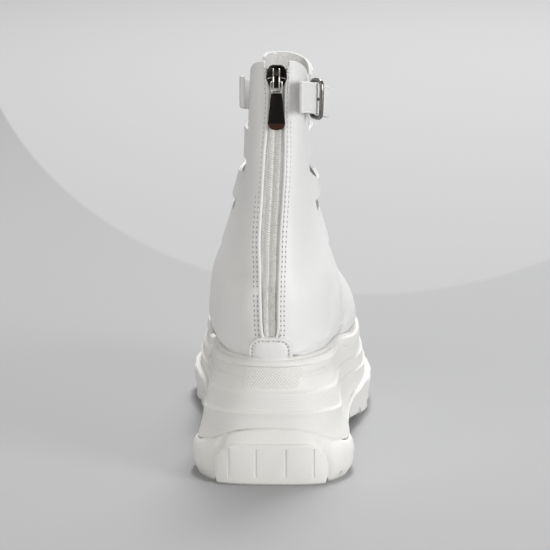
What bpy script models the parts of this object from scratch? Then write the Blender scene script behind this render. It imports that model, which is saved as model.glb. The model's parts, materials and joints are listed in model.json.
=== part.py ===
"""A right-foot caged sandal on a ribbed flatform sole, zipped at the back and buckled at the ankle.

+Y runs from heel to toe, +X is the wearer's right (the outer side, with the buckle) and +Z is up.
The tables below are in millimetres, measured from the rearmost point of the sole on the floor.
They are turned into metres, and centred on the shoe's box, as each piece is made.
"""
import math
from collections import namedtuple

import bmesh
import bpy
from mathutils import Matrix, Vector

MM = 0.001
GAP = 0.32           # clearance between pieces that meet
SHARP = math.radians(32)     # edges sharper than this aren't shaded smooth

# ---------------------------------------------------------------- driving sizes
SOLE_LENGTH = 264.0
HEEL_ROUND = 36.0    # how far from the back the heel's outline reaches its full width
TOE_ROUND = 66.0     # the same at the toe
HEEL_SQUARE, HEEL_OVAL = 3.4, 2.2    # the heel's outline at the floor and at the rim (2 is an ellipse)
TOE_OVAL = 2.3
WELL_DEEP = 6.0      # the lip's height over the bed that the upper and the insole lie in
UPPER_WALL = 1.8
INSOLE_THICK = 5.2
INSOLE_INSET = 2.9   # inside the upper's outer face and wall, whose foot leans in
INSOLE_WIDENS = 207.0    # past the vamp's front edge the insole fills the bed
HALF_RING = 30       # divisions of one side of a sole outline
COLLAR_TOP = 217.0   # beside the zip
TAB_TOP = 213.2      # of the front strip, which ends in a free tab
ZIP_BOTTOM = 73.5    # the zip opening ends here, over the heel tab

Station = namedtuple("Station", "y centre rim_half floor_half rim_z floor_z split_z")
STATIONS = (
    Station(0, 0.0, 24.5, 38.0, 63.8, 0.0, 28.8),
    Station(12, 0.0, 26.5, 40.2, 63.8, 0.0, 20.5),
    Station(30, 0.0, 28.5, 42.4, 63.3, 0.0, 17.5),
    Station(55, 0.0, 30.5, 41.0, 62.0, 0.0, 16.5),
    Station(85, 0.0, 33.0, 38.5, 59.0, 0.6, 16.5),
    Station(110, 0.5, 36.5, 38.0, 54.6, 4.5, 18.2),
    Station(135, 1.5, 38.8, 41.2, 51.2, 3.6, 19.2),
    Station(160, 1.6, 40.0, 46.2, 49.2, 0.0, 20.0),
    Station(185, -0.2, 41.2, 49.6, 48.2, 0.0, 20.0),
    Station(210, -2.0, 40.5, 50.6, 48.2, 1.2, 20.5),
    Station(236, -4.2, 37.5, 46.5, 50.0, 6.0, 23.5),
    Station(SOLE_LENGTH, -7.0, 34.0, 41.5, 53.4, 14.0, 31.0),
)
HEEL_SET_BACK = 6.0  # the rim lies this far in front of the floor outline at the heel
TOE_SET_BACK = 7.0
FOOT_SHARE = 0.05    # where the foot of the sole's side lies between the floor and rim outlines
HEEL_BLOCK_PROUD = 1.8
DRAW_INNER = 0.25    # the inner waist is drawn in less than the outer one

# How the sole's side departs from a plain slope: swell is how far the forefoot's lower edge stands
# out, flare how far the heel spreads over the lugs, and draw how far the outer waist is drawn in.
Shape = namedtuple("Shape", "y swell flare draw")
SHAPES = (
    Shape(0, 0.0, 0.0, 0.0),
    Shape(12, 0.0, 0.8, 0.2),
    Shape(30, 0.0, 2.4, 0.8),
    Shape(55, 0.0, 1.9, 2.4),
    Shape(85, 1.0, 1.0, 3.0),
    Shape(110, 1.5, 0.4, 2.2),
    Shape(135, 2.2, 0.0, 0.8),
    Shape(160, 2.6, 0.0, 0.0),
    Shape(185, 2.6, 0.0, 0.0),
    Shape(210, 2.4, 0.0, 0.0),
    Shape(236, 1.8, 0.0, 0.0),
    Shape(SOLE_LENGTH, 1.0, 0.0, 0.0),
)

# The ribs that run round the midsole's side, as shares of the height from the floor line to the rim.
Ribs = namedtuple("Ribs", "y lower middle lip")
RIBS = (
    Ribs(0, 0.590, 0.745, 0.957),
    Ribs(34, 0.560, 0.735, 0.940),
    Ribs(80, 0.550, 0.725, 0.915),
    Ribs(150, 0.560, 0.720, 0.885),
    Ribs(SOLE_LENGTH, 0.580, 0.730, 0.885),
)
RIB_PROUD = 1.3      # each band's lower edge stands this far out from the band above it
LIP_PROUD = 1.4      # the lip overhangs the band below it
LIP_WIDE = 2.8       # the raised lip round the top of the midsole
WELL_OUT = LIP_PROUD - LIP_WIDE - 0.2    # the well's wall, from the rim outline
WRAP_THICK = 4.5     # the outsole's wall where it climbs the side of the midsole
SLAB_TOP = 11.0      # the outsole's thickness over the floor line
SPLIT_SHARE = 0.38   # where the outsole's top edge lies between the floor and rim outlines
SEAT_GAP = 0.45      # the midsole over the outsole, whose joint is curved


# ---------------------------------------------------------------- reading the tables
def read(table, column, at, along="y"):
    """The column's value at a place along the table, on a smooth curve through its rows."""
    places = [getattr(row, along) for row in table]
    values = [getattr(row, column) for row in table]
    if at <= places[0]:
        return values[0]
    if at >= places[-1]:
        return values[-1]
    k = max(i for i, place in enumerate(places) if place <= at)
    k = min(k, len(places) - 2)
    span = places[k + 1] - places[k]
    t = (at - places[k]) / span

    def slope(i):
        if i in (0, len(places) - 1):
            return 0.0 if span == 0 else (values[k + 1] - values[k]) / span
        before = (values[i] - values[i - 1]) / (places[i] - places[i - 1])
        after = (values[i + 1] - values[i]) / (places[i + 1] - places[i])
        return 0.0 if before * after <= 0 else 2 * before * after / (before + after)

    return (
        values[k] * (1 + 2 * t) * (1 - t) ** 2
        + values[k + 1] * t * t * (3 - 2 * t)
        + span * (slope(k) * t * (1 - t) ** 2 - slope(k + 1) * t * t * (1 - t))
    )


def sole(column, y):
    return read(STATIONS, column, y)


def mix(a, b, share):
    return a + (b - a) * share


def end_round(y, start, end, height_share):
    """The share of the full width that the outline has near its rounded ends."""
    heel = min((y - start) / HEEL_ROUND, 1.0)
    toe = min((end - y) / TOE_ROUND, 1.0)
    share = 1.0
    for reach, power in ((heel, mix(HEEL_SQUARE, HEEL_OVAL, height_share)), (toe, TOE_OVAL)):
        share *= max(1 - (1 - max(reach, 0.0)) ** power, 0.0) ** (1 / power)
    return share


def ring_point(turn, height_share, out):
    """A point of the sole's outline in plan. turn is 0 at the heel and pi at the toe, on the outer
    side where positive; height_share is 0 at the floor and 1 at the rim; out moves it outwards."""
    start = HEEL_SET_BACK * height_share - out
    end = SOLE_LENGTH - TOE_SET_BACK * height_share + out
    y = start + (end - start) * (1 - math.cos(turn)) / 2
    half = mix(sole("floor_half", y), sole("rim_half", y), height_share) + out
    side = 0 if abs(math.sin(turn)) < 1e-9 else math.copysign(1, math.sin(turn))
    return sole("centre", y) + side * half * end_round(y, start, end, height_share), y


def outline(height_share, out):
    """One ring of the sole's side, from the heel round the outer side to the toe and back."""
    return [ring_point(math.pi * i / HALF_RING, height_share, out) for i in range(2 * HALF_RING)]


def half_at(y, height_share, out):
    """The half-width of that ring at one place along the shoe."""
    start = HEEL_SET_BACK * height_share - out
    end = SOLE_LENGTH - TOE_SET_BACK * height_share + out
    half = mix(sole("floor_half", y), sole("rim_half", y), height_share) + out
    return half * end_round(y, start, end, height_share)


def same_turn(y, height_share, out):
    """The floor ring's place with the same turn as this place on another ring."""
    start = HEEL_SET_BACK * height_share - out
    end = SOLE_LENGTH - TOE_SET_BACK * height_share + out
    return (y - start) / (end - start) * SOLE_LENGTH


def place(x, y, z):
    """A point of the tables in the part's own frame, in metres. The outsole sets the centre."""
    return Vector(((x - CENTRE_X) * MM, (y - CENTRE_Y) * MM, z * MM))


# ---------------------------------------------------------------- making objects
def clear_scene():
    for obj in list(bpy.data.objects):
        bpy.data.objects.remove(obj, do_unlink=True)


def collection(name, hidden):
    made = bpy.data.collections.new(name)
    bpy.context.scene.collection.children.link(made)
    made.hide_render = hidden
    return made


clear_scene()
PARTS = collection("caged_sandal", False)
CUTTERS = collection("cutters", True)


def material(name, colour, roughness, metallic=0.0):
    made = bpy.data.materials.new(name)
    made.use_nodes = True
    shader = made.node_tree.nodes["Principled BSDF"]
    shader.inputs["Base Color"].default_value = (*colour, 1.0)
    shader.inputs["Roughness"].default_value = roughness
    shader.inputs["Metallic"].default_value = metallic
    made.diffuse_color = (*colour, 1.0)
    return made


def add_object(name, mesh_or_bm, finish, cutter=False):
    mesh = mesh_or_bm
    if isinstance(mesh_or_bm, bmesh.types.BMesh):
        mesh = bpy.data.meshes.new(name)
        mesh_or_bm.to_mesh(mesh)
        mesh_or_bm.free()
    made = bpy.data.objects.new(name, mesh)
    if cutter:
        made.hide_render = True
        made.display_type = "WIRE"
        CUTTERS.objects.link(made)
    else:
        mesh.materials.append(finish)
        mesh.shade_smooth()
        mesh.set_sharp_from_angle(angle=SHARP)
        PARTS.objects.link(made)
    return made


def ladder(bm, ring, flip):
    """Closes a symmetric ring with rungs from its outer to its inner side."""
    count = len(ring)
    half = count // 2
    for i in range(half):
        corners = [ring[i], ring[i + 1], ring[count - i - 1]]
        if 0 < i:
            corners.append(ring[count - i])
        if i == half - 1:
            corners = [ring[i], ring[i + 1], ring[count - i]]
        bm.faces.new(reversed(corners) if flip else corners)


def ring_loft(rings):
    """A closed body through rings of (x, y, z), with both ends closed by rungs."""
    bm = bmesh.new()
    made = [[bm.verts.new(place(*point)) for point in ring] for ring in rings]
    for lower, upper in zip(made, made[1:]):
        for i in range(len(lower)):
            j = (i + 1) % len(lower)
            bm.faces.new((lower[i], lower[j], upper[j], upper[i]))
    ladder(bm, made[0], True)
    ladder(bm, made[-1], False)
    bmesh.ops.recalc_face_normals(bm, faces=bm.faces)
    return bm


def extrude_outline(outline_points, to_point, depth_a, depth_b):
    """A prism: outline_points are pairs, and to_point(pair, depth) gives each corner."""
    bm = bmesh.new()
    near = [bm.verts.new(to_point(pair, depth_a)) for pair in outline_points]
    far = [bm.verts.new(to_point(pair, depth_b)) for pair in outline_points]
    bm.faces.new(near)
    bm.faces.new(reversed(far))
    for i in range(len(near)):
        j = (i + 1) % len(near)
        bm.faces.new((near[i], far[i], far[j], near[j]))
    bmesh.ops.recalc_face_normals(bm, faces=bm.faces)
    return bm


def section_loft(sections):
    """A closed body through open-ended loops of points in metres, with flat ends."""
    bm = bmesh.new()
    rows = [[bm.verts.new(point) for point in loop] for loop in sections]
    for low, high in zip(rows, rows[1:]):
        for i in range(len(low)):
            j = (i + 1) % len(low)
            bm.faces.new((low[i], low[j], high[j], high[i]))
    bm.faces.new(reversed(rows[0]))
    bm.faces.new(rows[-1])
    bmesh.ops.recalc_face_normals(bm, faces=bm.faces)
    return bm


def boolean(target, cutter, operation="DIFFERENCE"):
    modifier = target.modifiers.new(cutter.name, "BOOLEAN")
    modifier.object = cutter
    modifier.operation = operation
    modifier.solver = "EXACT"


# ---------------------------------------------------------------- the sole
def side_ring(height_share, out, height, swell=0.0, flare=0.0, draw=0.0, half_ring=HALF_RING,
              lobed=0.0):
    """A ring of the side. Its heights are read at the floor ring's places, so that two rings which
    differ only in how far out they lie have the same heights all round."""
    ring = []
    for i in range(2 * half_ring):
        turn = math.pi * i / half_ring
        floor_y = ring_point(turn, 0.0, 0.0)[1]
        there = out + swell * read(SHAPES, "swell", floor_y) + flare * read(SHAPES, "flare", floor_y)
        there -= draw * read(SHAPES, "draw", floor_y) * (1.0 if i < half_ring else DRAW_INNER)
        there -= lobed * lobe_dip(i if i <= half_ring else 2 * half_ring - i)
        x, y = ring_point(turn, height_share, there)
        ring.append((x, y, height(floor_y)))
    return ring


def halved(ring):
    """The same ring with a point added in the middle of each side."""
    points = []
    for here, ahead in zip(ring, ring[1:] + ring[:1]):
        points += [here, tuple(mix(a, b, 0.5) for a, b in zip(here, ahead))]
    return points


def lobe_dip(step):
    """How deep the side is drawn in between two lobes, from 0 to 1, at a step of the fine ring."""
    if step < LOBE_START:
        return 0.0
    across = (step - LOBE_START) % LOBE_STEPS / LOBE_STEPS
    return 1 - math.sin(math.pi * across) ** 0.7


def side_z(share, y):
    """A height on the side, as a share of the way from the floor line to the rim."""
    return mix(sole("floor_z", y), sole("rim_z", y), share)


def rib_height(column, lift):
    def height(y):
        return side_z(read(RIBS, column, y), y) + lift
    return height


def split_height(lift):
    def height(y):
        return sole("split_z", y) + lift
    return height


def between_split_and_rib(share):
    def height(y):
        return mix(split_height(SEAT_GAP)(y), rib_height("lower", 0)(y), share)
    return height


def midsole_side():
    """The stepped side, from its foot up to the rim: outline share, how far out, height, and the
    shares of the swell, the flare and the draw."""
    rim = rib_height("lip", 0)
    return [
        (SPLIT_SHARE, 0.0, split_height(SEAT_GAP), 0.0, 1.0),
        (SPLIT_SHARE + 0.02, 0.3, split_height(SEAT_GAP + 0.8), 0.0, 1.0),
        (0.43, 0.2, between_split_and_rib(0.3), 0.0, 0.75, 0.5),
        (0.47, 0.3, between_split_and_rib(0.62), 0.0, 0.3, 0.8),
        (0.50, RIB_PROUD, rib_height("lower", -0.5), 0.0, 0.0, 1.0),
        (0.50, 0.0, rib_height("lower", 0.6), 0.0, 0.0, 1.0),
        (0.71, RIB_PROUD, rib_height("middle", -0.5), 0.0, 0.0, 0.6),
        (0.71, 0.0, rib_height("middle", 0.6), 0.0, 0.0, 0.6),
        (0.92, -0.4, rib_height("lip", -0.6)),
        (0.93, LIP_PROUD, rim),
        (1.0, LIP_PROUD, lambda y: side_z(0.985, y)),
        (1.0, LIP_PROUD - 0.9, lambda y: sole("rim_z", y)),
    ]


def bed_z(y):
    return sole("rim_z", y) - WELL_DEEP


def slab_z(y):
    return sole("floor_z", y) + SLAB_TOP


def make_midsole(finish):
    inner = [
        side_ring(SPLIT_SHARE, -WRAP_THICK - GAP, lambda y: slab_z(y) + SEAT_GAP, flare=1.0),
        side_ring(SPLIT_SHARE, -WRAP_THICK - GAP, split_height(SEAT_GAP), flare=1.0),
    ]
    side = [side_ring(*ring) for ring in midsole_side()]
    well = [
        side_ring(1.0, LIP_PROUD - LIP_WIDE, lambda y: sole("rim_z", y)),
        side_ring(1.0, WELL_OUT, bed_z),
    ]
    return add_object("midsole", ring_loft(inner + side + well), finish)


HEEL_BLOCK_HALF = 29.0
HEEL_BLOCK_TOP = 21.4
HEEL_BLOCK_CORNER = 11.0
HEEL_GROOVES = (-21.5, -7.8, 7.4, 21.4)      # how far each upright groove is from the middle
GROOVE_WIDE, GROOVE_DEEP = 1.3, 0.8
GROOVE_LOW, GROOVE_HIGH = 4.2, 19.0
LOBE_START, LOBE_STEPS = 5, 4       # the lobes of the edge, in steps of the fine ring
LOBE_DEEP = 1.8
NOTCH_HALF, NOTCH_TALL, NOTCH_DEEP = 1.9, 4.6, 5.5       # cut under the joints of the lobes


def turn_at_x(x):
    """The turn, near the heel, at which the floor outline is this far from the middle."""
    low, high = 0.0, 0.75
    for _ in range(30):
        middle = (low + high) / 2
        if ring_point(middle, 0.0, 0.0)[0] < abs(x):
            low = middle
        else:
            high = middle
    return math.copysign(low, x)


def outward(turn):
    """The outward direction of the floor outline, in plan."""
    ahead, behind = ring_point(turn + 0.01, 0.0, 0.0), ring_point(turn - 0.01, 0.0, 0.0)
    return Vector((ahead[1] - behind[1], behind[0] - ahead[0], 0)).normalized()


def heel_block():
    """The raised block at the back of the heel, with rounded top corners."""
    last = turn_at_x(HEEL_BLOCK_HALF)
    steps = 18
    loops = []
    for k in range(steps + 1):
        turn = last * math.sin(math.pi * (k / steps - 0.5))
        x, _ = ring_point(turn, 0.0, 0.0)
        into = max(abs(x) - (HEEL_BLOCK_HALF - HEEL_BLOCK_CORNER), 0.0)
        top = HEEL_BLOCK_TOP - HEEL_BLOCK_CORNER + math.sqrt(max(HEEL_BLOCK_CORNER**2 - into**2, 0.0))
        profile = (
            (-3.0, 0.15), (1.0, 0.15), (HEEL_BLOCK_PROUD, 1.1),
            (HEEL_BLOCK_PROUD, top - 1.2), (0.6, top), (-3.0, top),
        )
        loops.append([place(*ring_point(turn, FOOT_SHARE, out), z) for out, z in profile])
    return section_loft(loops)


def upright_box(bm, turn, wide, deep_in, deep_out, low, high):
    """A box that stands on the floor outline, square to it."""
    x, y = ring_point(turn, 0.0, 0.0)
    facing_out = outward(turn)
    middle = Vector((x, y, 0)) + facing_out * (deep_out - deep_in) / 2
    turned = Matrix.Rotation(math.atan2(facing_out.y, facing_out.x), 4, "Z")
    size = Matrix.Diagonal(((deep_in + deep_out) * MM, wide * MM, (high - low) * MM, 1))
    spot = Matrix.Translation(place(middle.x, middle.y, (low + high) / 2))
    bmesh.ops.create_cube(bm, size=1, matrix=spot @ turned @ size)


def groove_cutter():
    bm = bmesh.new()
    for x in HEEL_GROOVES:
        face = HEEL_BLOCK_PROUD
        upright_box(bm, turn_at_x(x), GROOVE_WIDE, GROOVE_DEEP - face, face + 2, GROOVE_LOW, GROOVE_HIGH)
    return bm


def notch_cutter():
    """Small arched notches under the joints between the lobes, along the whole outsole."""
    bm = bmesh.new()
    for step in range(LOBE_START, 2 * HALF_RING, LOBE_STEPS):
        turn = math.pi * step / (2 * HALF_RING)
        for side in (1, -1):
            x, y = ring_point(side * turn, 0.0, 0.0)
            facing_out = outward(side * turn)
            middle = Vector((x, y, 0)) - facing_out * (NOTCH_DEEP / 2 - 1)
            turned = Matrix.Rotation(math.atan2(facing_out.y, facing_out.x), 4, "Z")
            lying = Matrix.Rotation(math.pi / 2, 4, "Y")
            size = Matrix.Diagonal((NOTCH_TALL, NOTCH_HALF, NOTCH_DEEP + 2, 1)) * MM
            size[3][3] = 1
            spot = Matrix.Translation(place(middle.x, middle.y, sole("floor_z", y) - 0.4))
            bmesh.ops.create_cone(
                bm, cap_ends=True, segments=10, radius1=1, radius2=1, depth=1,
                matrix=spot @ turned @ lying @ size,
            )
    return bm


def lug_height(share):
    """A height between the floor line and the outsole's top edge."""
    def height(y):
        return mix(sole("floor_z", y), sole("split_z", y), share)
    return height


def lug_rings():
    """The outsole's lobed side, from the floor up to just under its top edge."""
    fine = {"half_ring": 2 * HALF_RING, "lobed": LOBE_DEEP}
    near_top = {"half_ring": 2 * HALF_RING}
    return [
        side_ring(0.0, -2.4, lug_height(0.0), **fine),
        side_ring(0.0, -0.8, lambda y: sole("floor_z", y) + 1.4, **fine),
        side_ring(FOOT_SHARE, -0.5, lug_height(0.36), **fine),
        side_ring(0.10, 0.0, lug_height(0.70), swell=0.5, **fine),
        side_ring(0.24, 0.0, split_height(-2.0), 1.0, 0.6, lobed=LOBE_DEEP / 2, **near_top),
        side_ring(0.34, 0.3, split_height(-0.7), 0.9, 0.9, lobed=LOBE_DEEP / 4, **near_top),
    ]


SIDE = [point for ring in lug_rings() for point in ring]
CENTRE_X = (max(x for x, _, _ in SIDE) + min(x for x, _, _ in SIDE)) / 2
BACKMOST = HEEL_SET_BACK * FOOT_SHARE - HEEL_BLOCK_PROUD
CENTRE_Y = (BACKMOST + max(y for _, y, _ in SIDE)) / 2


def make_outsole(finish):
    top = [
        side_ring(SPLIT_SHARE, 0.0, split_height(0.0), flare=1.0),
        side_ring(SPLIT_SHARE, -WRAP_THICK, split_height(0.0), flare=1.0),
        side_ring(SPLIT_SHARE, -WRAP_THICK, slab_z, flare=1.0),
    ]
    rings = lug_rings() + [halved(ring) for ring in top]
    outsole = add_object("outsole", ring_loft(rings), finish)
    boolean(outsole, add_object("heel_block", heel_block(), None, cutter=True), "UNION")
    boolean(outsole, add_object("heel_grooves", groove_cutter(), None, cutter=True))
    boolean(outsole, add_object("lug_notches", notch_cutter(), None, cutter=True))
    return outsole


def insole_ring(inset, height):
    """The insole's outline: inside the upper's wall, and out to the lip under the open toe."""
    ring = []
    for i, (_, floor_y) in enumerate(outline(0.0, 0.0)):
        open_toe = min(max((floor_y - INSOLE_WIDENS) / 8, 0.0), 1.0)
        inside_wall = WELL_OUT - UPPER_WALL - INSOLE_INSET
        inside_lip = WELL_OUT - 2 * GAP
        out = mix(inside_wall, inside_lip, open_toe) - inset
        x, y = ring_point(math.pi * i / HALF_RING, 1.0, out)
        ring.append((x, y, height(floor_y)))
    return ring


def make_insole(finish):
    rings = [
        insole_ring(0.0, lambda y: bed_z(y) + GAP),
        insole_ring(0.0, lambda y: bed_z(y) + GAP + INSOLE_THICK - 1.2),
        insole_ring(1.4, lambda y: bed_z(y) + GAP + INSOLE_THICK),
    ]
    return add_object("insole", ring_loft(rings), finish)


# ---------------------------------------------------------------- the upper
# Sections of the last, fanning from the open toe up to the collar. Each row's plane runs from its
# front point on the instep line to its back point, which follows the sole's edge to the heel
# (back_z None) and then climbs the back line. half is the widest half-width, flat shapes the sides
# (1 is an ellipse, less is flatter), lean is how far the front stands to the outer side of the
# middle and strip is the half-width of the front strip, measured round the section.
Section = namedtuple("Section", "front_y front_z back_y back_z half flat centre lean strip")
SECTIONS = (
    Section(207, 72.0, 196, None, 39.0, 0.62, -2.2, 0, 30),
    Section(188, 79.0, 177, None, 41.2, 0.62, -2.0, 0, 30),
    Section(169, 86.0, 157, None, 42.0, 0.64, -1.7, 0, 28),
    Section(152, 93.5, 137, None, 41.3, 0.66, -1.3, 0, 24),
    Section(139, 99.5, 118, None, 38.6, 0.70, -0.8, 0, 21),
    Section(131, 103.8, 102, None, 36.6, 0.74, -0.3, 0, 19),
    Section(125.5, 107.4, 88, None, 35.6, 0.76, 0.0, 0, 18),
    Section(121.5, 110.0, 66, None, 35.2, 0.78, 0.2, 0, 17),
    Section(119, 112.0, 46, None, 35.2, 0.80, 0.2, 0, 16.5),
    Section(117, 113.8, 30, None, 35.0, 0.81, 0.2, 0, 16),
    Section(115.5, 115.4, 19.5, None, 34.9, 0.82, 0.2, 0, 16),
    Section(114.2, 116.9, 12.0, None, 34.8, 0.83, 0.2, 0, 15.8),
    Section(113.0, 118.3, 9.1, None, 34.6, 0.84, 0.0, 0, 15.5),
    Section(111.9, 119.7, 8.1, 66.0, 34.2, 0.84, -0.2, 0, 15),
    Section(110.8, 121.1, 7.0, ZIP_BOTTOM, 33.3, 0.84, -0.3, 0, 15),
    Section(109.7, 122.8, 6.1, 88.0, 31.2, 0.84, -0.4, 0, 15),
    Section(108.6, 125.0, 7.0, 100.0, 28.4, 0.82, -0.3, 0, 14.5),
    Section(106.6, 131.5, 9.2, 112.0, 25.5, 0.80, -0.1, 0, 14.5),
    Section(104.8, 139.5, 11.2, 124.5, 22.2, 0.76, 0.1, 0, 14.5),
    Section(104.0, 144.8, 12.2, 130.5, 20.7, 0.70, 0.3, 0, 14.5),
    Section(102.7, 152.0, 13.3, 139.8, 18.4, 0.64, 0.8, 0.2, 15),
    Section(101.5, 159.0, 14.4, 149.5, 16.9, 0.59, 1.2, 0.5, 15.5),
    Section(100.7, 164.0, 15.0, 156.0, 16.2, 0.56, 1.4, 0.8, 16),
    Section(99.7, 171.3, 15.6, 165.2, 15.8, 0.54, 1.6, 1.2, 16.5),
    Section(98.7, 178.7, 16.0, 174.2, 15.7, 0.52, 1.8, 1.7, 17),
    Section(97.3, 188.0, 15.6, 185.5, 15.8, 0.50, 2.0, 2.2, 17.5),
    Section(96.0, 198.0, 14.6, 196.0, 15.7, 0.50, 2.2, 2.7, 18.5),
    Section(94.0, TAB_TOP, 13.0, COLLAR_TOP, 15.2, 0.50, 2.4, 3.1, 19),
)
ROW_VAMP_END = 4          # the vamp's rear edge
ROW_QUARTER = 6           # the heel quarter's lowest corner, on the sole's edge
ROW_PANEL = 9             # below it the outer side is closed from the heel quarter to the vamp
ROW_CORNER = 12           # here the sections' back ends leave the sole and climb the heel
ROW_ZIP = 14              # the zip opening starts at this row

# The front edge of the heel quarter, from the sole up to the collar.
QuarterEdge = namedtuple("QuarterEdge", "z y")
QUARTER_EDGE = (
    QuarterEdge(55, 89),
    QuarterEdge(75, 79),
    QuarterEdge(95, 70),
    QuarterEdge(115, 64),
    QuarterEdge(140, 59),
    QuarterEdge(165, 55),
    QuarterEdge(190, 52),
    QuarterEdge(COLLAR_TOP, 49),
)

# The top edge of the heel quarter, which falls away to its front corner.
CollarEdge = namedtuple("CollarEdge", "y z")
COLLAR_EDGE = (
    CollarEdge(12, COLLAR_TOP),
    CollarEdge(22, 216.0),
    CollarEdge(32, 213.6),
    CollarEdge(40, 210.6),
    CollarEdge(45, 207.6),
    CollarEdge(48.5, 203.5),
)

# The three straps on each side that join the heel quarter to the front strip: the rows between
# which each lies, and how far it bows out from the last on the outer and the inner side.
Strap = namedtuple("Strap", "low high bow_outer bow_inner")
STRAPS = (Strap(16, 18, 0.7, 1.2), Strap(19, 21, 3.4, 2.6), Strap(22, 24, 1.2, 2.8))
COLUMNS_STRIP, COLUMNS_STRAP, COLUMNS_QUARTER = 5, 6, 8
TAB_ROUND_OUTER, TAB_ROUND_INNER = 15.0, 5.0     # the front tab's top corners
WALL_GAP = 1.15           # between the lip and the wall, whose edges are straight between rows
FOOT_GAP = 0.85           # between the bed and the upper's lower edge
RIM_CLEAR = 0.4           # the wall stands upright inside the lip, up to this far over it
FLARE = 0.9               # how fast it may lean out over the lip
RIM_T = 0.94              # the last column but one, where a section doesn't meet the rim

ZipGap = namedtuple("ZipGap", "z half")
ZIP_GAP = (
    ZipGap(ZIP_BOTTOM, 3.9),
    ZipGap(100, 4.2),
    ZipGap(125, 4.8),
    ZipGap(155, 4.8),
    ZipGap(180, 4.4),
    ZipGap(200, 4.8),
    ZipGap(208, 5.3),
    ZipGap(COLLAR_TOP, 6.6),
)


# How far the zip's line strays from the middle of the shaft.
ZipLine = namedtuple("ZipLine", "z shift")
ZIP_LINE = (
    ZipLine(64, -0.2),
    ZipLine(82, -0.8),
    ZipLine(100, -0.8),
    ZipLine(130, -0.9),
    ZipLine(155, -0.7),
    ZipLine(175, -0.35),
    ZipLine(198, 0.0),
)


def well_half(y):
    """The half-width that the upper's lower edge has inside the lip."""
    return half_at(y, 1.0, WELL_OUT - WALL_GAP)


def well_rim(y):
    """The height of the lip's top beside this place in the well."""
    return sole("rim_z", same_turn(y, 1.0, WELL_OUT))


def section_curve(row):
    """The section as a function of t from 0 at the front to 1 at its end, for its outer half:
    it gives how far out, and the place in y and z."""
    on_sole = row.back_z is None
    back_z = well_rim(row.back_y) - WELL_DEEP + FOOT_GAP if on_sole else row.back_z
    end_half = well_half(row.back_y) if on_sole else read(ZIP_GAP, "half", back_z, along="z")
    half = max(row.half, end_half)
    end_turn = math.pi - math.asin(min(end_half / half, 1.0) ** (1 / row.flat))

    def at(t):
        turn = end_turn * t
        along = (1 - math.cos(turn)) / (1 - math.cos(end_turn))
        out = half * math.sin(turn) ** row.flat if 0 < turn else 0.0
        y, z = mix(row.front_y, row.back_y, along), mix(row.front_z, back_z, along)
        if on_sole and t > 0.5:
            over_rim = max(z - well_rim(y) - RIM_CLEAR, 0.0)
            out = min(out, well_half(y) + FLARE * over_rim)
        return Vector((out, y, z))

    return at


def t_at_rim(at):
    """The t at which the section, on its way down, reaches the top of the lip."""
    steps = 200
    for step in range(steps // 2, steps):
        here = at(step / steps)
        if here.z <= well_rim(here.y) + RIM_CLEAR:
            return step / steps
    return RIM_T


def middle_at(row, t, y, rim_t):
    """The section's middle: at its foot it follows the middle of the sole."""
    if row.back_z is None:
        return mix(row.centre, sole("centre", y), min(t / rim_t, 1.0) ** 2)
    forward = (y - row.back_y) / (row.front_y - row.back_y)
    shift = read(ZIP_LINE, "shift", row.back_z, along="z")
    return row.centre + row.lean * forward ** 3 + shift * (1 - forward) ** 4


def t_at_half(at, target):
    """The t at which the section, measured round from its front, has come this far."""
    steps = 60
    gone, last = 0.0, at(0)
    for step in range(1, steps + 1):
        here = at(step / steps)
        gone += (here - last).length
        if gone >= target:
            return step / steps
        last = here
    return 1.0


def t_at_quarter(at):
    """The t at which the section passes under the front edge of the heel quarter."""
    steps = 120
    for step in range(1, steps + 1):
        here = at(step / steps)
        if here.y <= read(QUARTER_EDGE, "y", here.z, along="z"):
            return step / steps
    return 1.0


def column_ts(number, row, at):
    """Where the grid's columns cross one section: over the strip, the straps, then the quarter."""
    strip = t_at_half(at, row.strip)
    quarter = 0.80 if number < ROW_QUARTER else min(t_at_quarter(at), RIM_T - 0.03)
    parts = (
        (0.0, strip, COLUMNS_STRIP),
        (strip, quarter, COLUMNS_STRAP),
        (quarter, t_at_rim(at) if row.back_z is None else RIM_T, COLUMNS_QUARTER - 1),
        (1.0, 1.0, 1),
    )
    ts = [0.0]
    for start, end, count in parts:
        ts += [mix(start, end, (k + 1) / count) for k in range(count)]
    for k in range(COLUMNS_STRIP):
        ts[k] = strip * math.sin(math.pi / 2 * k / COLUMNS_STRIP)
    return ts


COLUMNS = COLUMNS_STRIP + COLUMNS_STRAP + COLUMNS_QUARTER
EDGE_STRIP = COLUMNS_STRIP
EDGE_QUARTER = COLUMNS_STRIP + COLUMNS_STRAP


def is_wall(row, column, side):
    """Whether the cell between this row and column and the next ones is leather."""
    if row < ROW_VAMP_END or side > 0 and row < ROW_PANEL:
        return True
    if column < EDGE_STRIP:
        return True
    if column >= EDGE_QUARTER:
        return row >= ROW_QUARTER
    return any(strap.low <= row < strap.high for strap in STRAPS)


def strap_bow(row, column, side):
    """How far a strap stands out from the last here."""
    if not EDGE_STRIP < column < EDGE_QUARTER:
        return 0.0
    along = (column - EDGE_STRIP) / COLUMNS_STRAP
    for strap in STRAPS:
        if strap.low <= row <= strap.high:
            bow = strap.bow_outer if side > 0 else strap.bow_inner
            return bow * math.sin(math.pi * along) ** 0.7
    return 0.0


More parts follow.
